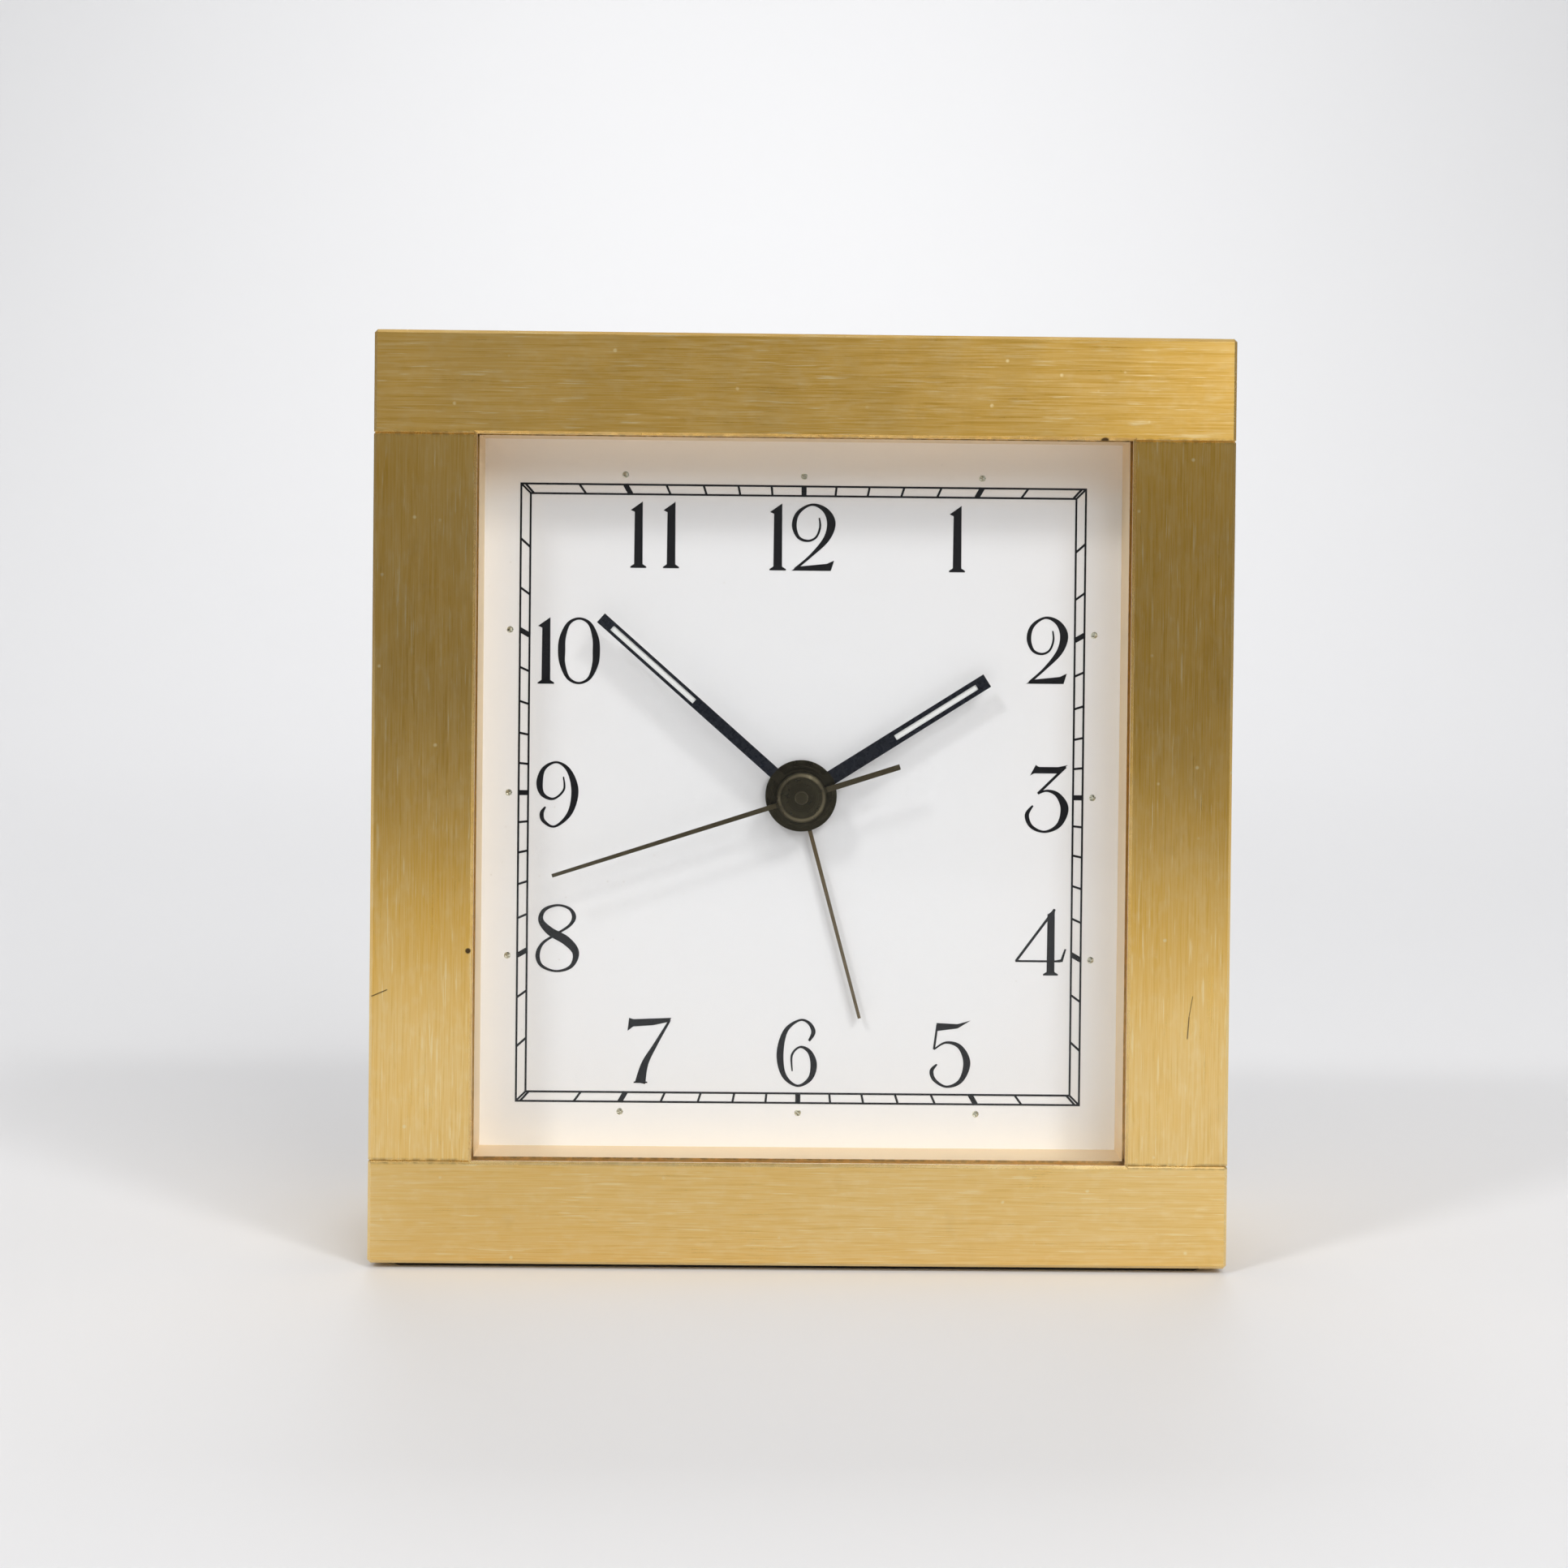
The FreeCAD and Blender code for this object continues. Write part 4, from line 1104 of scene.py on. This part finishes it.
NUMERALS: Dict[str, Numeral] = {
    "0": Numeral((
        Stroke((
            (300, 985, 30), (140, 910, 48), (50, 700, 84), (35, 500, 98), (50, 300, 75),
            (140, 90, 45), (300, 15, 30), (460, 90, 45), (550, 300, 84), (565, 500, 98),
            (550, 700, 84), (460, 910, 48)), closed=True),
    )),
    "1": Numeral((
        Stroke(((125, 30, 116), (125, 900, 108)), straight=True),
    ), (
        ((0, 870), (70, 840), (186, 860), (187, 1000)),
        ((0, 0), (250, 0), (250, 20), (188, 60), (62, 60), (0, 20)),
    )),
    "2": Numeral((
        Stroke((
            (417, 790, 20), (430, 650, 28), (370, 500, 28), (243, 445, 30), (100, 500, 42),
            (35, 680, 64), (100, 870, 50), (300, 985, 30), (500, 910, 70), (600, 720, 115),
            (530, 480, 85), (300, 230, 40), (50, 20, 34))),
    ), (
        ((0, 0), (600, 0), (650, 155), (615, 140), (540, 105), (100, 60)),
    )),
    "3": Numeral((
        Stroke(((610, 975, 34), (200, 575, 34)), straight=True),
        Stroke((
            (200, 575, 22), (340, 620, 30), (500, 555, 65), (600, 360, 105), (520, 120, 65),
            (310, 15, 30), (110, 90, 46), (40, 260, 56), (128, 400, 22))),
    ), (
        ((80, 840), (140, 875), (490, 875), (640, 1000), (500, 970), (210, 970), (165, 1000)),
    )),
    "4": Numeral((
        Stroke(((600, 1000, 34), (10, 215, 34)), straight=True),
        Stroke(((545, 30, 106), (545, 930, 98)), straight=True),
        Stroke(((0, 215, 26), (700, 215, 26)), straight=True),
    ), (
        ((492, 920), (600, 920), (606, 1010)),
        ((600, 205), (730, 205), (785, 400), (757, 400), (700, 245), (600, 225)),
        ((430, 0), (660, 0), (660, 20), (604, 55), (486, 55), (430, 20)),
    )),
    "5": Numeral((
        Stroke(((115, 950, 30), (65, 580, 30)), straight=True),
        Stroke((
            (65, 580, 20), (257, 685, 30), (480, 620, 62), (595, 380, 100), (500, 110, 62),
            (278, 15, 30), (85, 110, 46), (30, 250, 56), (115, 355, 22))),
    ), (
        ((100, 980), (115, 860), (440, 900), (645, 1020), (440, 965)),
    )),
    "6": Numeral((
        Stroke((
            (500, 684, 30), (568, 820, 60), (490, 955, 40), (340, 988, 28), (130, 830, 62),
            (45, 490, 96), (110, 170, 66), (320, 15, 30), (520, 120, 62), (578, 330, 90),
            (510, 520, 58), (360, 592, 28), (232, 470, 30), (240, 232, 18))),
    )),
    "7": Numeral((
        Stroke((
            (650, 970, 30), (440, 600, 52), (280, 300, 92), (210, 0, 140))),
    ), (
        ((12, 800), (100, 868), (400, 890), (640, 945), (673, 1005), (100, 980), (35, 1000)),
        ((110, 0), (320, 0), (315, 22), (115, 22)),
    )),
    "8": Numeral((
        Stroke((
            (310, 985, 28), (120, 915, 48), (70, 760, 70), (210, 600, 105), (450, 465, 115),
            (595, 290, 90), (530, 90, 48), (310, 15, 28), (90, 90, 40), (25, 250, 58),
            (100, 425, 38), (310, 565, 28), (500, 690, 38), (565, 820, 56), (490, 940, 36)), closed=True),
    )),
    "9": Numeral((
        Stroke((
            (400, 767, 18), (407, 570, 28), (250, 432, 30), (85, 500, 58), (40, 680, 86),
            (105, 890, 52), (296, 985, 28), (480, 860, 60), (575, 560, 96), (500, 220, 66),
            (278, 15, 30), (110, 90, 46), (75, 210, 54), (130, 310, 22))),
    )),
}
NUMERAL_BOXES: Dict[str, Tuple[float, float, float, float]] = {
    "12": (-3.08, 20.46, 2.90, 26.58), "1": (13.28, 20.46, 14.74, 26.50), "2": (20.43, 10.37, 24.22, 16.51),
    "3": (20.44, -3.24, 24.44, 2.97), "4": (19.70, -16.27, 24.38, -10.15),
    "5": (12.00, -26.63, 15.73, -20.46), "6": (-1.98, -26.65, 1.72, -20.42),
    "7": (-15.59, -26.50, -11.60, -20.43),
    "8": (-24.04, -16.35, -20.06, -10.14), "9": (-24.09, -3.18, -20.25, 2.89),
    "10": (-24.06, 9.92, -18.42, 16.00), "11": (-15.74, 20.56, -11.31, 26.60),
}
FIGURE_STEPS: Dict[str, float] = {"12": 0.336, "10": 0.327, "11": 0.51}


@dataclass
class DialPrint:
    """Track, ticks, numerals and luminous dots of the dial."""

    middle: Place = MIDDLE
    face_y: float = -7.25
    layer: float = 0.02
    half_width: float = 25.70
    half_height: float = 28.12
    gap: float = 0.87
    line: float = 0.175
    tick: float = 0.195
    bold: float = 0.46
    dot_radius: float = 0.30
    dot_out: float = 0.90
    dot_flatness: float = 0.16
    dot_segments: int = 20
    dot_rings: int = 10
    dot_smooth: float = math.radians(40)

    @staticmethod
    def line_between(start: Place, end: Place, width: float) -> List[Place]:
        """Draw a straight line of ink.

        Args:
            start: first end, in millimetres.
            end: last end.
            width: width of the line.

        Returns:
            Its outline.
        """
        dx, dz = end[0] - start[0], end[1] - start[1]
        length = math.hypot(dx, dz)
        ax, az = -dz / length * width / 2, dx / length * width / 2
        return [(start[0] + ax, start[1] + az), (end[0] + ax, end[1] + az),
                (end[0] - ax, end[1] - az), (start[0] - ax, start[1] - az)]

    def rim(self, angle: float, inset: float) -> Place:
        """Where a line from the middle meets the track.

        Args:
            angle: clock angle in radians.
            inset: distance inside the outer line.

        Returns:
            The place.
        """
        across, up = math.sin(angle), math.cos(angle)
        reach = min((self.half_width - inset) / max(abs(across), NEAR_ZERO),
                    (self.half_height - inset) / max(abs(up), NEAR_ZERO))
        return (across * reach, up * reach)

    def track(self) -> List[List[Place]]:
        """Two rectangles of thin lines, and a mark across each corner.

        Returns:
            Their outlines.
        """
        runs = []
        for inset in (0.0, self.gap):
            w, h, half = self.half_width - inset, self.half_height - inset, self.line / 2
            runs += [((-w - half, h), (w + half, h)), ((-w - half, -h), (w + half, -h)),
                     ((-w, -h), (-w, h)), ((w, -h), (w, h))]
        inner = (self.half_width - self.gap, self.half_height - self.gap)
        for x in (-1, 1):
            for z in (-1, 1):
                runs.append(((x * self.half_width, z * self.half_height), (x * inner[0], z * inner[1])))
        return [self.line_between(start, end, self.line) for start, end in runs]

    def ticks(self) -> List[List[Place]]:
        """Sixty ticks, with a bold one for each hour.

        Returns:
            Their outlines.
        """
        outlines = []
        for minute in range(60):
            angle = math.radians(6 * minute)
            width = self.bold if minute % 5 == 0 else self.tick
            outlines.append(self.line_between(self.rim(angle, self.gap), self.rim(angle, 0.0), width))
        return outlines

    @staticmethod
    def numerals() -> List[List[Place]]:
        """The twelve hours, each where it stands on the dial.

        Returns:
            Their outlines.
        """
        outlines = []
        for text, (left, bottom, right, top) in NUMERAL_BOXES.items():
            raw = [outline for index, figure in enumerate(text)
                   for outline in NUMERALS[figure].outlines(index * FIGURE_STEPS.get(text, 0.0))]
            across = [x for outline in raw for x, _ in outline]
            upright = [z for outline in raw for _, z in outline]
            wide = (right - left) / (max(across) - min(across))
            high = (top - bottom) / (max(upright) - min(upright))
            outlines.extend([[(left + wide * (x - min(across)), bottom + high * (z - min(upright)))
                              for x, z in outline] for outline in raw])
        return outlines

    def drop(self, hour: int) -> bpy.types.Object:
        """One low drop of paint, half sunk in the dial.

        Args:
            hour: the hour that it stands for.

        Returns:
            The drop.
        """
        x, z = self.rim(math.radians(30 * hour), 0.0)
        on_side = abs(abs(x) - self.half_width) < 0.01
        x += math.copysign(self.dot_out, x) if on_side else 0.0
        z += 0.0 if on_side else math.copysign(self.dot_out, z)
        place = (MM * (self.middle[0] + x), MM * self.face_y, MM * (self.middle[1] + z))
        Bench.alone()
        bpy.ops.mesh.primitive_uv_sphere_add(segments=self.dot_segments, ring_count=self.dot_rings,
                                             radius=self.dot_radius * MM, location=place)
        drop = bpy.context.object
        drop.scale = (1.0, self.dot_flatness, 1.0)
        Bench.edit_all(Bench.settle(drop, "dot"))
        bpy.ops.mesh.bisect(plane_co=(0, MM * self.face_y, 0), plane_no=(0, 1, 0), use_fill=True,
                            clear_outer=True)
        bpy.ops.object.mode_set(mode="OBJECT")
        return drop

    def dots(self, material: bpy.types.Material) -> bpy.types.Object:
        """Twelve low drops of luminous paint outside the track.

        Args:
            material: the paint.

        Returns:
            The drops, as one piece.
        """
        dots = Bench.joined([self.drop(hour) for hour in range(12)], "dial_lume_dots")
        Bench.outwards(dots)
        Bench.dress(dots, material)
        bpy.ops.object.shade_smooth_by_angle(angle=self.dot_smooth)
        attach(dots, "case")
        return dots

    def build(self, ink: bpy.types.Material, lume: bpy.types.Material) -> None:
        """Print the dial.

        Args:
            ink: black ink.
            lume: luminous paint of the dots.
        """
        for name, outlines in (("dial_track", self.track()), ("dial_ticks", self.ticks()),
                               ("dial_numerals", self.numerals())):
            piece = Bench.printed(name, outlines, self.face_y, self.layer, self.middle)
            Bench.dress(piece, ink)
            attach(piece, "case")
            LOG.info("%s: %d faces", name, len(piece.data.polygons))
        self.dots(lume)
        LOG.info("dial_lume_dots: 12 drops")


@dataclass
class AlarmPointer:
    """The alarm hand, with a blade that stays broad up to its tip."""

    middle: Place = MIDDLE
    angle: float = 165.2
    tip_angle: float = 164.75
    far: float = 10.0
    tip_radius: float = 20.95
    tip_width: float = 0.29

    def build(self, finish: bpy.types.Material) -> None:
        """Make the hand from the solid's own shape.

        Args:
            finish: its bronze.
        """
        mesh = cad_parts["alarm_hand"].data.copy()
        hand = bpy.data.objects.new("alarm_pointer", mesh)
        mesh.name = hand.name
        bpy.context.scene.collection.objects.link(hand)
        Bench.outwards(hand)
        turn, tip = math.radians(self.angle), math.radians(self.tip_angle)
        along, across = (math.sin(turn), math.cos(turn)), (math.cos(turn), -math.sin(turn))
        end = (self.tip_radius * math.sin(tip), self.tip_radius * math.cos(tip))
        for corner in mesh.vertices:
            x, z = corner.co.x / MM - self.middle[0], corner.co.z / MM - self.middle[1]
            if x * along[0] + z * along[1] < self.far:
                continue
            side = math.copysign(self.tip_width / 2, x * across[0] + z * across[1])
            corner.co.x = MM * (self.middle[0] + end[0] + across[0] * side)
            corner.co.z = MM * (self.middle[1] + end[1] + across[1] * side)
        Bench.dress(hand, finish)
        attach(hand, "alarm_work")
        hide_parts("alarm_hand")
        LOG.info("%s: %d faces", hand.name, len(mesh.polygons))


@dataclass
class RearPanel:
    """Screw head and printed arrows on the rear."""

    middle: Place = MIDDLE
    plate_y: float = 10.75
    knob_places: Tuple[Place, Place] = ((-8.888, -3.060), (8.776, -3.369))
    arrow_radius: float = 5.7
    arrow_width: float = 0.42
    arrow_layer: float = 0.03
    arc_start: float = 50.0
    arc_sweep: float = 80.0
    arc_steps: int = 14
    point_tip: float = 152.0
    point_base: float = 128.0
    point_reach: float = 1.6
    screw_place: Place = (0.0, 34.875)
    screw_radius: float = 1.6
    screw_height: float = 0.9
    shank_radius: float = 0.8
    shank_length: float = 5.0
    sunk: float = 1.5
    dome: float = 0.28
    slot_width: float = 0.42
    slot_depth: float = 0.45
    slot_reach: float = 1.25
    head_sides: int = 48
    shank_sides: int = 32
    sharp: float = math.radians(50)
    smooth: float = math.radians(35)

    @staticmethod
    def around(middle: Place, radius: float, degrees: float) -> Place:
        """The place at an angle on a circle."""
        angle = math.radians(degrees)
        return (middle[0] + radius * math.cos(angle), middle[1] + radius * math.sin(angle))

    def arrows(self, ink: bpy.types.Material) -> bpy.types.Object:
        """An arc with a pointed end above each knob, for the way to turn it.

        Args:
            ink: its ink.

        Returns:
            The arrows, as one piece.
        """
        outlines: List[List[Place]] = []
        inner, outer = (self.arrow_radius + side * self.arrow_width / 2 for side in (-1, 1))
        reach = self.arrow_width * self.point_reach
        arc = [self.arc_start + step * self.arc_sweep / self.arc_steps for step in range(self.arc_steps + 1)]
        for knob in self.knob_places:
            outlines.append([self.around(knob, outer, angle) for angle in arc]
                            + [self.around(knob, inner, angle) for angle in reversed(arc)])
            outlines.append([self.around(knob, self.arrow_radius, self.point_tip),
                             self.around(knob, self.arrow_radius + reach, self.point_base),
                             self.around(knob, self.arrow_radius - reach, self.point_base)])
        piece = Bench.printed("setting_arrows", outlines, self.plate_y, self.arrow_layer, self.middle,
                              towards=1.0)
        Bench.dress(piece, ink)
        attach(piece, "case")
        return piece

    def turned(self, name: str, size: Place, start: float, vertices: int,
               bevel: Tuple[float, int]) -> bpy.types.Object:
        """A round part of the screw, with a rounded rim.

        Args:
            name: name of the part.
            size: radius and length, in millimetres.
            start: Y of its inner end.
            vertices: corners of its circle.
            bevel: width of the rounding and its segments.

        Returns:
            The part.
        """
        x, z = self.middle[0] + self.screw_place[0], self.middle[1] + self.screw_place[1]
        Bench.alone()
        bpy.ops.mesh.primitive_cylinder_add(vertices=vertices, radius=size[0], depth=size[1],
                                            location=(x, start + size[1] / 2, z),
                                            rotation=(math.radians(-90), 0, 0))
        part = Bench.settle(bpy.context.object, name)
        Bench.modified(part, "BEVEL", {"width": bevel[0], "segments": bevel[1], "angle_limit": self.sharp})
        return part

    def screw(self, steel: bpy.types.Material) -> bpy.types.Object:
        """Screw with a domed head, a cross recess and a shank, made in millimetres and then scaled.

        Args:
            steel: its metal.

        Returns:
            The screw.
        """
        head = self.turned("head", (self.screw_radius, self.screw_height), self.plate_y, self.head_sides,
                           (self.dome, 4))
        x, z = self.middle[0] + self.screw_place[0], self.middle[1] + self.screw_place[1]
        reach, depth = self.screw_radius * self.slot_reach, self.slot_depth * 2
        for size in ((reach, depth, self.slot_width), (self.slot_width, depth, reach)):
            Bench.alone()
            bpy.ops.mesh.primitive_cube_add(size=1, location=(x, self.plate_y + self.screw_height, z))
            cutter = bpy.context.object
            cutter.scale = size
            Bench.settle(cutter, "cutter")
            Bench.modified(head, "BOOLEAN", {"object": cutter, "operation": "DIFFERENCE", "solver": "EXACT"})
            bpy.data.objects.remove(cutter)
        length = self.shank_length + self.sunk
        shank = self.turned("shank", (self.shank_radius, length), self.plate_y - length,
                            self.shank_sides, (self.dome / 2, 2))
        screw = Bench.joined([head, shank], "rear_screw")
        screw.scale = (MM, MM, MM)
        Bench.settle(screw, "rear_screw")
        Bench.dress(screw, steel)
        Bench.alone(screw)
        bpy.ops.object.shade_smooth_by_angle(angle=self.smooth)
        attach(screw, "case")
        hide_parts("back_plate_screw")
        return screw

    def build(self, ink: bpy.types.Material, steel: bpy.types.Material) -> None:
        """Make the screw and the arrows.

        Args:
            ink: ink of the arrows.
            steel: metal of the screw.
        """
        for piece in (self.arrows(ink), self.screw(steel)):
            LOG.info("%s: %d faces", piece.name, len(piece.data.polygons))


@dataclass
class Movement:
    """Finish of every node that keeps its shape."""

    marks_left: Tuple[Scratch, ...] = (Scratch((-37.9, -17.6), (-36.5, -17.0), 0.08),)
    marks_right: Tuple[Scratch, ...] = (Scratch((34.8, -17.0), (34.5, -18.8), 0.06),
                                        Scratch((34.5, -18.8), (34.36, -20.8), 0.09))
    fleck_left: Fleck = Fleck((-29.4, -13.7, -13.5), 0.30)
    fleck_top: Fleck = Fleck((26.46, -13.55, 32.1), 0.46)

    def finishes(self) -> Tuple[Tuple[Finish, Tuple[str, ...]], ...]:
        """Choose the finishes.

        Returns:
            Each finish with the nodes that carry it.
        """
        return (
            (BrushedBrass("brass_across", Grain.ALONG_X, flecks=(self.fleck_top,)),
             ("top_bar", "bottom_bar")),
            (BrushedBrass("brass_left", Grain.ALONG_Z, marks=self.marks_left, flecks=(self.fleck_left,)),
             ("left_bar",)),
            (BrushedBrass("brass_right", Grain.ALONG_Z, marks=self.marks_right), ("right_bar",)),
            (MouldedPlastic("pad_rubber", (0.016, 0.015, 0.015), 0.8, 7.0, 0.05, 0.2), ("base_pad",)),
            (ClearGlass(), ("glass",)),
            (DialLacquer(), ("dial",)),
            (HandLacquer("black_hand", (0.006, 0.008, 0.014), roughness=0.28), ("minute_hand", "hour_hand")),
            (HandLacquer("bronze_hand", (0.085, 0.070, 0.040), metallic=0.8, boss_radius=2.4, highlight_ring_width=0.17,
                         worn=0.15), ("seconds_hand",)),
            (HandLacquer("cap_bronze", (0.05, 0.045, 0.028), metallic=0.8, roughness=0.5),
             ("seconds_hand_cap",)),
            (HandLacquer("alarm_hand_bronze", (0.16, 0.12, 0.065), metallic=0.8, worn=0.2), ("alarm_hand",)),
            (LumePaint("hand_lume", (0.90, 0.91, 0.89)), ("minute_hand_lume", "hour_hand_lume")),
            (MouldedPlastic("housing_plastic", (0.030, 0.030, 0.030)), ("housing", "coil_bobbin")),
            (MouldedPlastic("back_plastic", (0.026, 0.026, 0.027), 0.55, 4.0, 0.035),
             ("back_plate", "battery_cover")),
            (MouldedPlastic("wheel_acetal", (0.80, 0.78, 0.71), 0.35, 2.0, 0.006, 0.1),
             ("third_wheel", "centre_wheel", "intermediate_wheel", "rotor_arbor", "minute_wheel",
              "hour_wheel", "alarm_wheel", "alarm_set_arbor")),
            (MouldedPlastic("bridge_plastic", (0.72, 0.71, 0.66), 0.42, 3.0, 0.01, 0.1), ("train_bridge",)),
            (MouldedPlastic("knob_plastic", (0.036, 0.036, 0.037), 0.42, 6.0, 0.012, 0.35),
             ("time_set_knob", "alarm_set_knob")),
            (MouldedPlastic("board_mask", (0.02, 0.13, 0.06), 0.3, 1.2, 0.02, 0.4), ("circuit_board",)),
            (MouldedPlastic("chip_resin", (0.016, 0.016, 0.017), 0.6, 6.0, 0.015), ("control_chip",)),
            (MouldedPlastic("switch_plastic", (0.60, 0.57, 0.49), 0.4, 4.0, 0.012, 0.15), ("alarm_switch",)),
            (WorkedMetal("contact_nickel", (0.66, 0.65, 0.61), Grain.ALONG_Z),
             ("alarm_switch_contact", "battery_positive_contact", "battery_negative_contact")),
            (WorkedMetal("stator_iron", (0.56, 0.55, 0.52), Grain.ALONG_X, 0.4), ("stator", "coil_core")),
            (WorkedMetal("turned_brass", (0.74, 0.55, 0.25), Grain.ALONG_Y, 0.28), ("cannon_pinion",)),
            (WorkedMetal("crystal_can", (0.66, 0.66, 0.67), Grain.ALONG_X, 0.22), ("quartz_crystal",)),
            (WorkedMetal("sounder_brass", (0.70, 0.53, 0.26)), ("sounder",)),
            (WorkedMetal("battery_sleeve", (0.10, 0.11, 0.13), Grain.ALONG_X, 0.35), ("battery",)),
            (WorkedMetal("seconds_arbor_bronze", (0.13, 0.11, 0.07), Grain.ALONG_Y, 0.45),
             ("seconds_arbor",)),
            (WorkedMetal("magnet_grey", (0.22, 0.22, 0.23), Grain.ALONG_Y, 0.5), ("rotor_magnet",)),
            (WoundWire(), ("coil_winding",)),
        )

    def build(self) -> None:
        """Dress the nodes, with one material for each finish."""
        for finish, nodes in self.finishes():
            material = finish.build()
            for node in nodes:
                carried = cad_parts[node]
                if not carried.material_slots:
                    carried.data.materials.append(material)
                for slot in carried.material_slots:
                    slot.material = material
            LOG.info("%s: %s", material.name, ", ".join(nodes))


@dataclass(frozen=True)
class Lamp:
    """One soft square lamp: place and aim in metres, power in watts, side in metres."""

    name: str
    place: Point
    power: float
    size: float
    aim: Point = (0.0, 0.0, 0.042)

    def build(self) -> None:
        """Hang the lamp."""
        data = bpy.data.lights.new(self.name, "AREA")
        data.energy = self.power
        data.size = self.size
        lamp = bpy.data.objects.new(self.name, data)
        lamp.location = self.place
        towards = Vector(self.aim) - Vector(self.place)
        lamp.rotation_euler = towards.to_track_quat("-Z", "Y").to_euler()
        bpy.context.scene.collection.objects.link(lamp)


@dataclass
class Studio:
    """Floor, backdrop, light and camera."""

    width: float = 4.0
    front: float = -1.6
    rear: float = 1.1
    backdrop_height: float = 1.8
    bend: float = 0.5
    bend_segments: int = 24
    floor_colour: Colour = (0.74, 0.74, 0.75)
    floor_shade: Colour = (0.70, 0.70, 0.71)
    floor_roughness: float = 0.6
    tint_scale: float = 0.004
    dim_from: Place = (-245.0, -370.0)
    dim_colour: Colour = (0.09, 0.09, 0.09)
    world_level: float = 0.52
    world_low: float = 0.235
    world_rise: float = 0.6
    camera_place: Point = (-0.004092, -0.223535, 0.059448)
    camera_turn: Point = (-0.01169, -0.01030, -0.01107)
    lens: float = 54.54
    shift_y: float = -0.0993
    clip_start: float = 0.005
    lamps: Tuple[Lamp, ...] = (
        Lamp("key_left", (-0.46, -0.44, 0.66), 1.9, 0.12),
        Lamp("key_right", (0.40, -0.46, 0.66), 1.3, 0.12),
        Lamp("front_fill", (0.30, -0.56, 0.49), 1.85, 0.40),
        Lamp("backdrop_light", (0.0, 0.72, 1.15), 7.5, 0.6, (0.0, 1.4, 0.3)))

    @staticmethod
    def pick(plane: bpy.types.Object, wanted: Callable[[Vector], bool]) -> None:
        """Select the edges whose two ends are both wanted, in edit mode.

        Args:
            plane: the piece.
            wanted: tells of a corner's place whether it is wanted.
        """
        work = bmesh.from_edit_mesh(plane.data)
        for edge in work.edges:
            edge.select_set(all(wanted(corner.co) for corner in edge.verts))
        work.select_flush_mode()
        bmesh.update_edit_mesh(plane.data)

    def floor(self) -> None:
        """A wide pale floor that curves up into the backdrop."""
        Bench.alone()
        length = self.rear - self.front
        bpy.ops.mesh.primitive_plane_add(size=1, location=(0, (self.rear + self.front) / 2, 0))
        plane = bpy.context.object
        plane.scale = (self.width, length, 1.0)
        Bench.settle(plane, "backdrop")
        bpy.ops.object.mode_set(mode="EDIT")
        self.pick(plane, lambda place: place.y > self.rear - MM)
        bpy.ops.mesh.select_mode(type="EDGE")
        bpy.ops.mesh.extrude_region_move(TRANSFORM_OT_translate={"value": (0, 0, self.backdrop_height)})
        self.pick(plane, lambda place: place.y > self.rear - MM and place.z < MM)
        bpy.ops.mesh.bevel(offset=self.bend, segments=self.bend_segments, affect="EDGES")
        bpy.ops.object.mode_set(mode="OBJECT")
        bpy.ops.object.shade_smooth()
        recipe = Recipe("floor_paint")
        tint = recipe.even(self.tint_scale, 2.0) * 0.2
        _, y, _ = recipe.axes(recipe.place())
        tone = recipe.blend(tint, self.floor_colour, self.floor_shade)
        tone = recipe.blend(y.above(*self.dim_from), tone, self.dim_colour)
        Bench.dress(plane, recipe.finish({"Base Color": tone, "Roughness": self.floor_roughness}))

    def world(self) -> None:
        """Light from all round, a little darker towards the horizon."""
        world = bpy.data.worlds.new("studio")
        bpy.context.scene.world = world
        world.use_nodes = True
        nodes = Nodes(world.node_tree)
        around = nodes.node("ShaderNodeTexCoord", {}, {}).outputs["Generated"]
        height = nodes.node("ShaderNodeSeparateXYZ", {}, {0: around}).outputs["Z"]
        rise = nodes.node("ShaderNodeMapRange", {"interpolation_type": "SMOOTHSTEP"},
                          {0: height, 1: 0.0, 2: self.world_rise, 3: self.world_low, 4: self.world_level})
        light = world.node_tree.nodes["Background"]
        nodes.feed(light.inputs["Color"], (1.0, 1.0, 1.0))
        nodes.feed(light.inputs["Strength"], rise.outputs[0])

    def camera(self) -> None:
        """Camera at the photograph's viewing angle."""
        data = bpy.data.cameras.new("camera")
        data.lens = self.lens
        data.shift_y = self.shift_y
        data.clip_start = self.clip_start
        camera = bpy.data.objects.new("camera", data)
        rx, roll, rz = self.camera_turn
        turn = (Matrix.Rotation(rz, 4, "Z") @ Matrix.Rotation(rx, 4, "X") @ Matrix.Rotation(roll, 4, "Y")
                @ Matrix.Rotation(math.pi / 2, 4, "X"))
        camera.matrix_world = Matrix.Translation(self.camera_place) @ turn
        bpy.context.scene.collection.objects.link(camera)
        bpy.context.scene.camera = camera

    def build(self) -> None:
        """Set up the studio."""
        bpy.context.scene.view_settings.view_transform = "Standard"
        self.camera()
        self.floor()
        self.world()
        for lamp in self.lamps:
            lamp.build()
        LOG.info("studio: %d lamps", len(self.lamps))


def main() -> None:
    """Build the clock and its studio."""
    logging.basicConfig(level=logging.INFO, format="%(name)s %(message)s")
    Studio().build()
    Movement().build()
    ink = Ink("dial_ink", (0.004, 0.004, 0.006)).build()
    pale_ink = Ink("rear_ink", (0.62, 0.61, 0.58)).build()
    lume = LumePaint("dot_lume", (0.88, 0.89, 0.72), (0.84, 0.84, 0.60)).build()
    steel = WorkedMetal("screw_steel", (0.50, 0.50, 0.51), Grain.ALONG_X, 0.25, 0.3, 11.57).build()
    DialPrint().build(ink, lume)
    AlarmPointer().build(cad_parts["alarm_hand"].material_slots[0].material)
    RearPanel().build(pale_ink, steel)


if __name__ == "__main__":
    main()
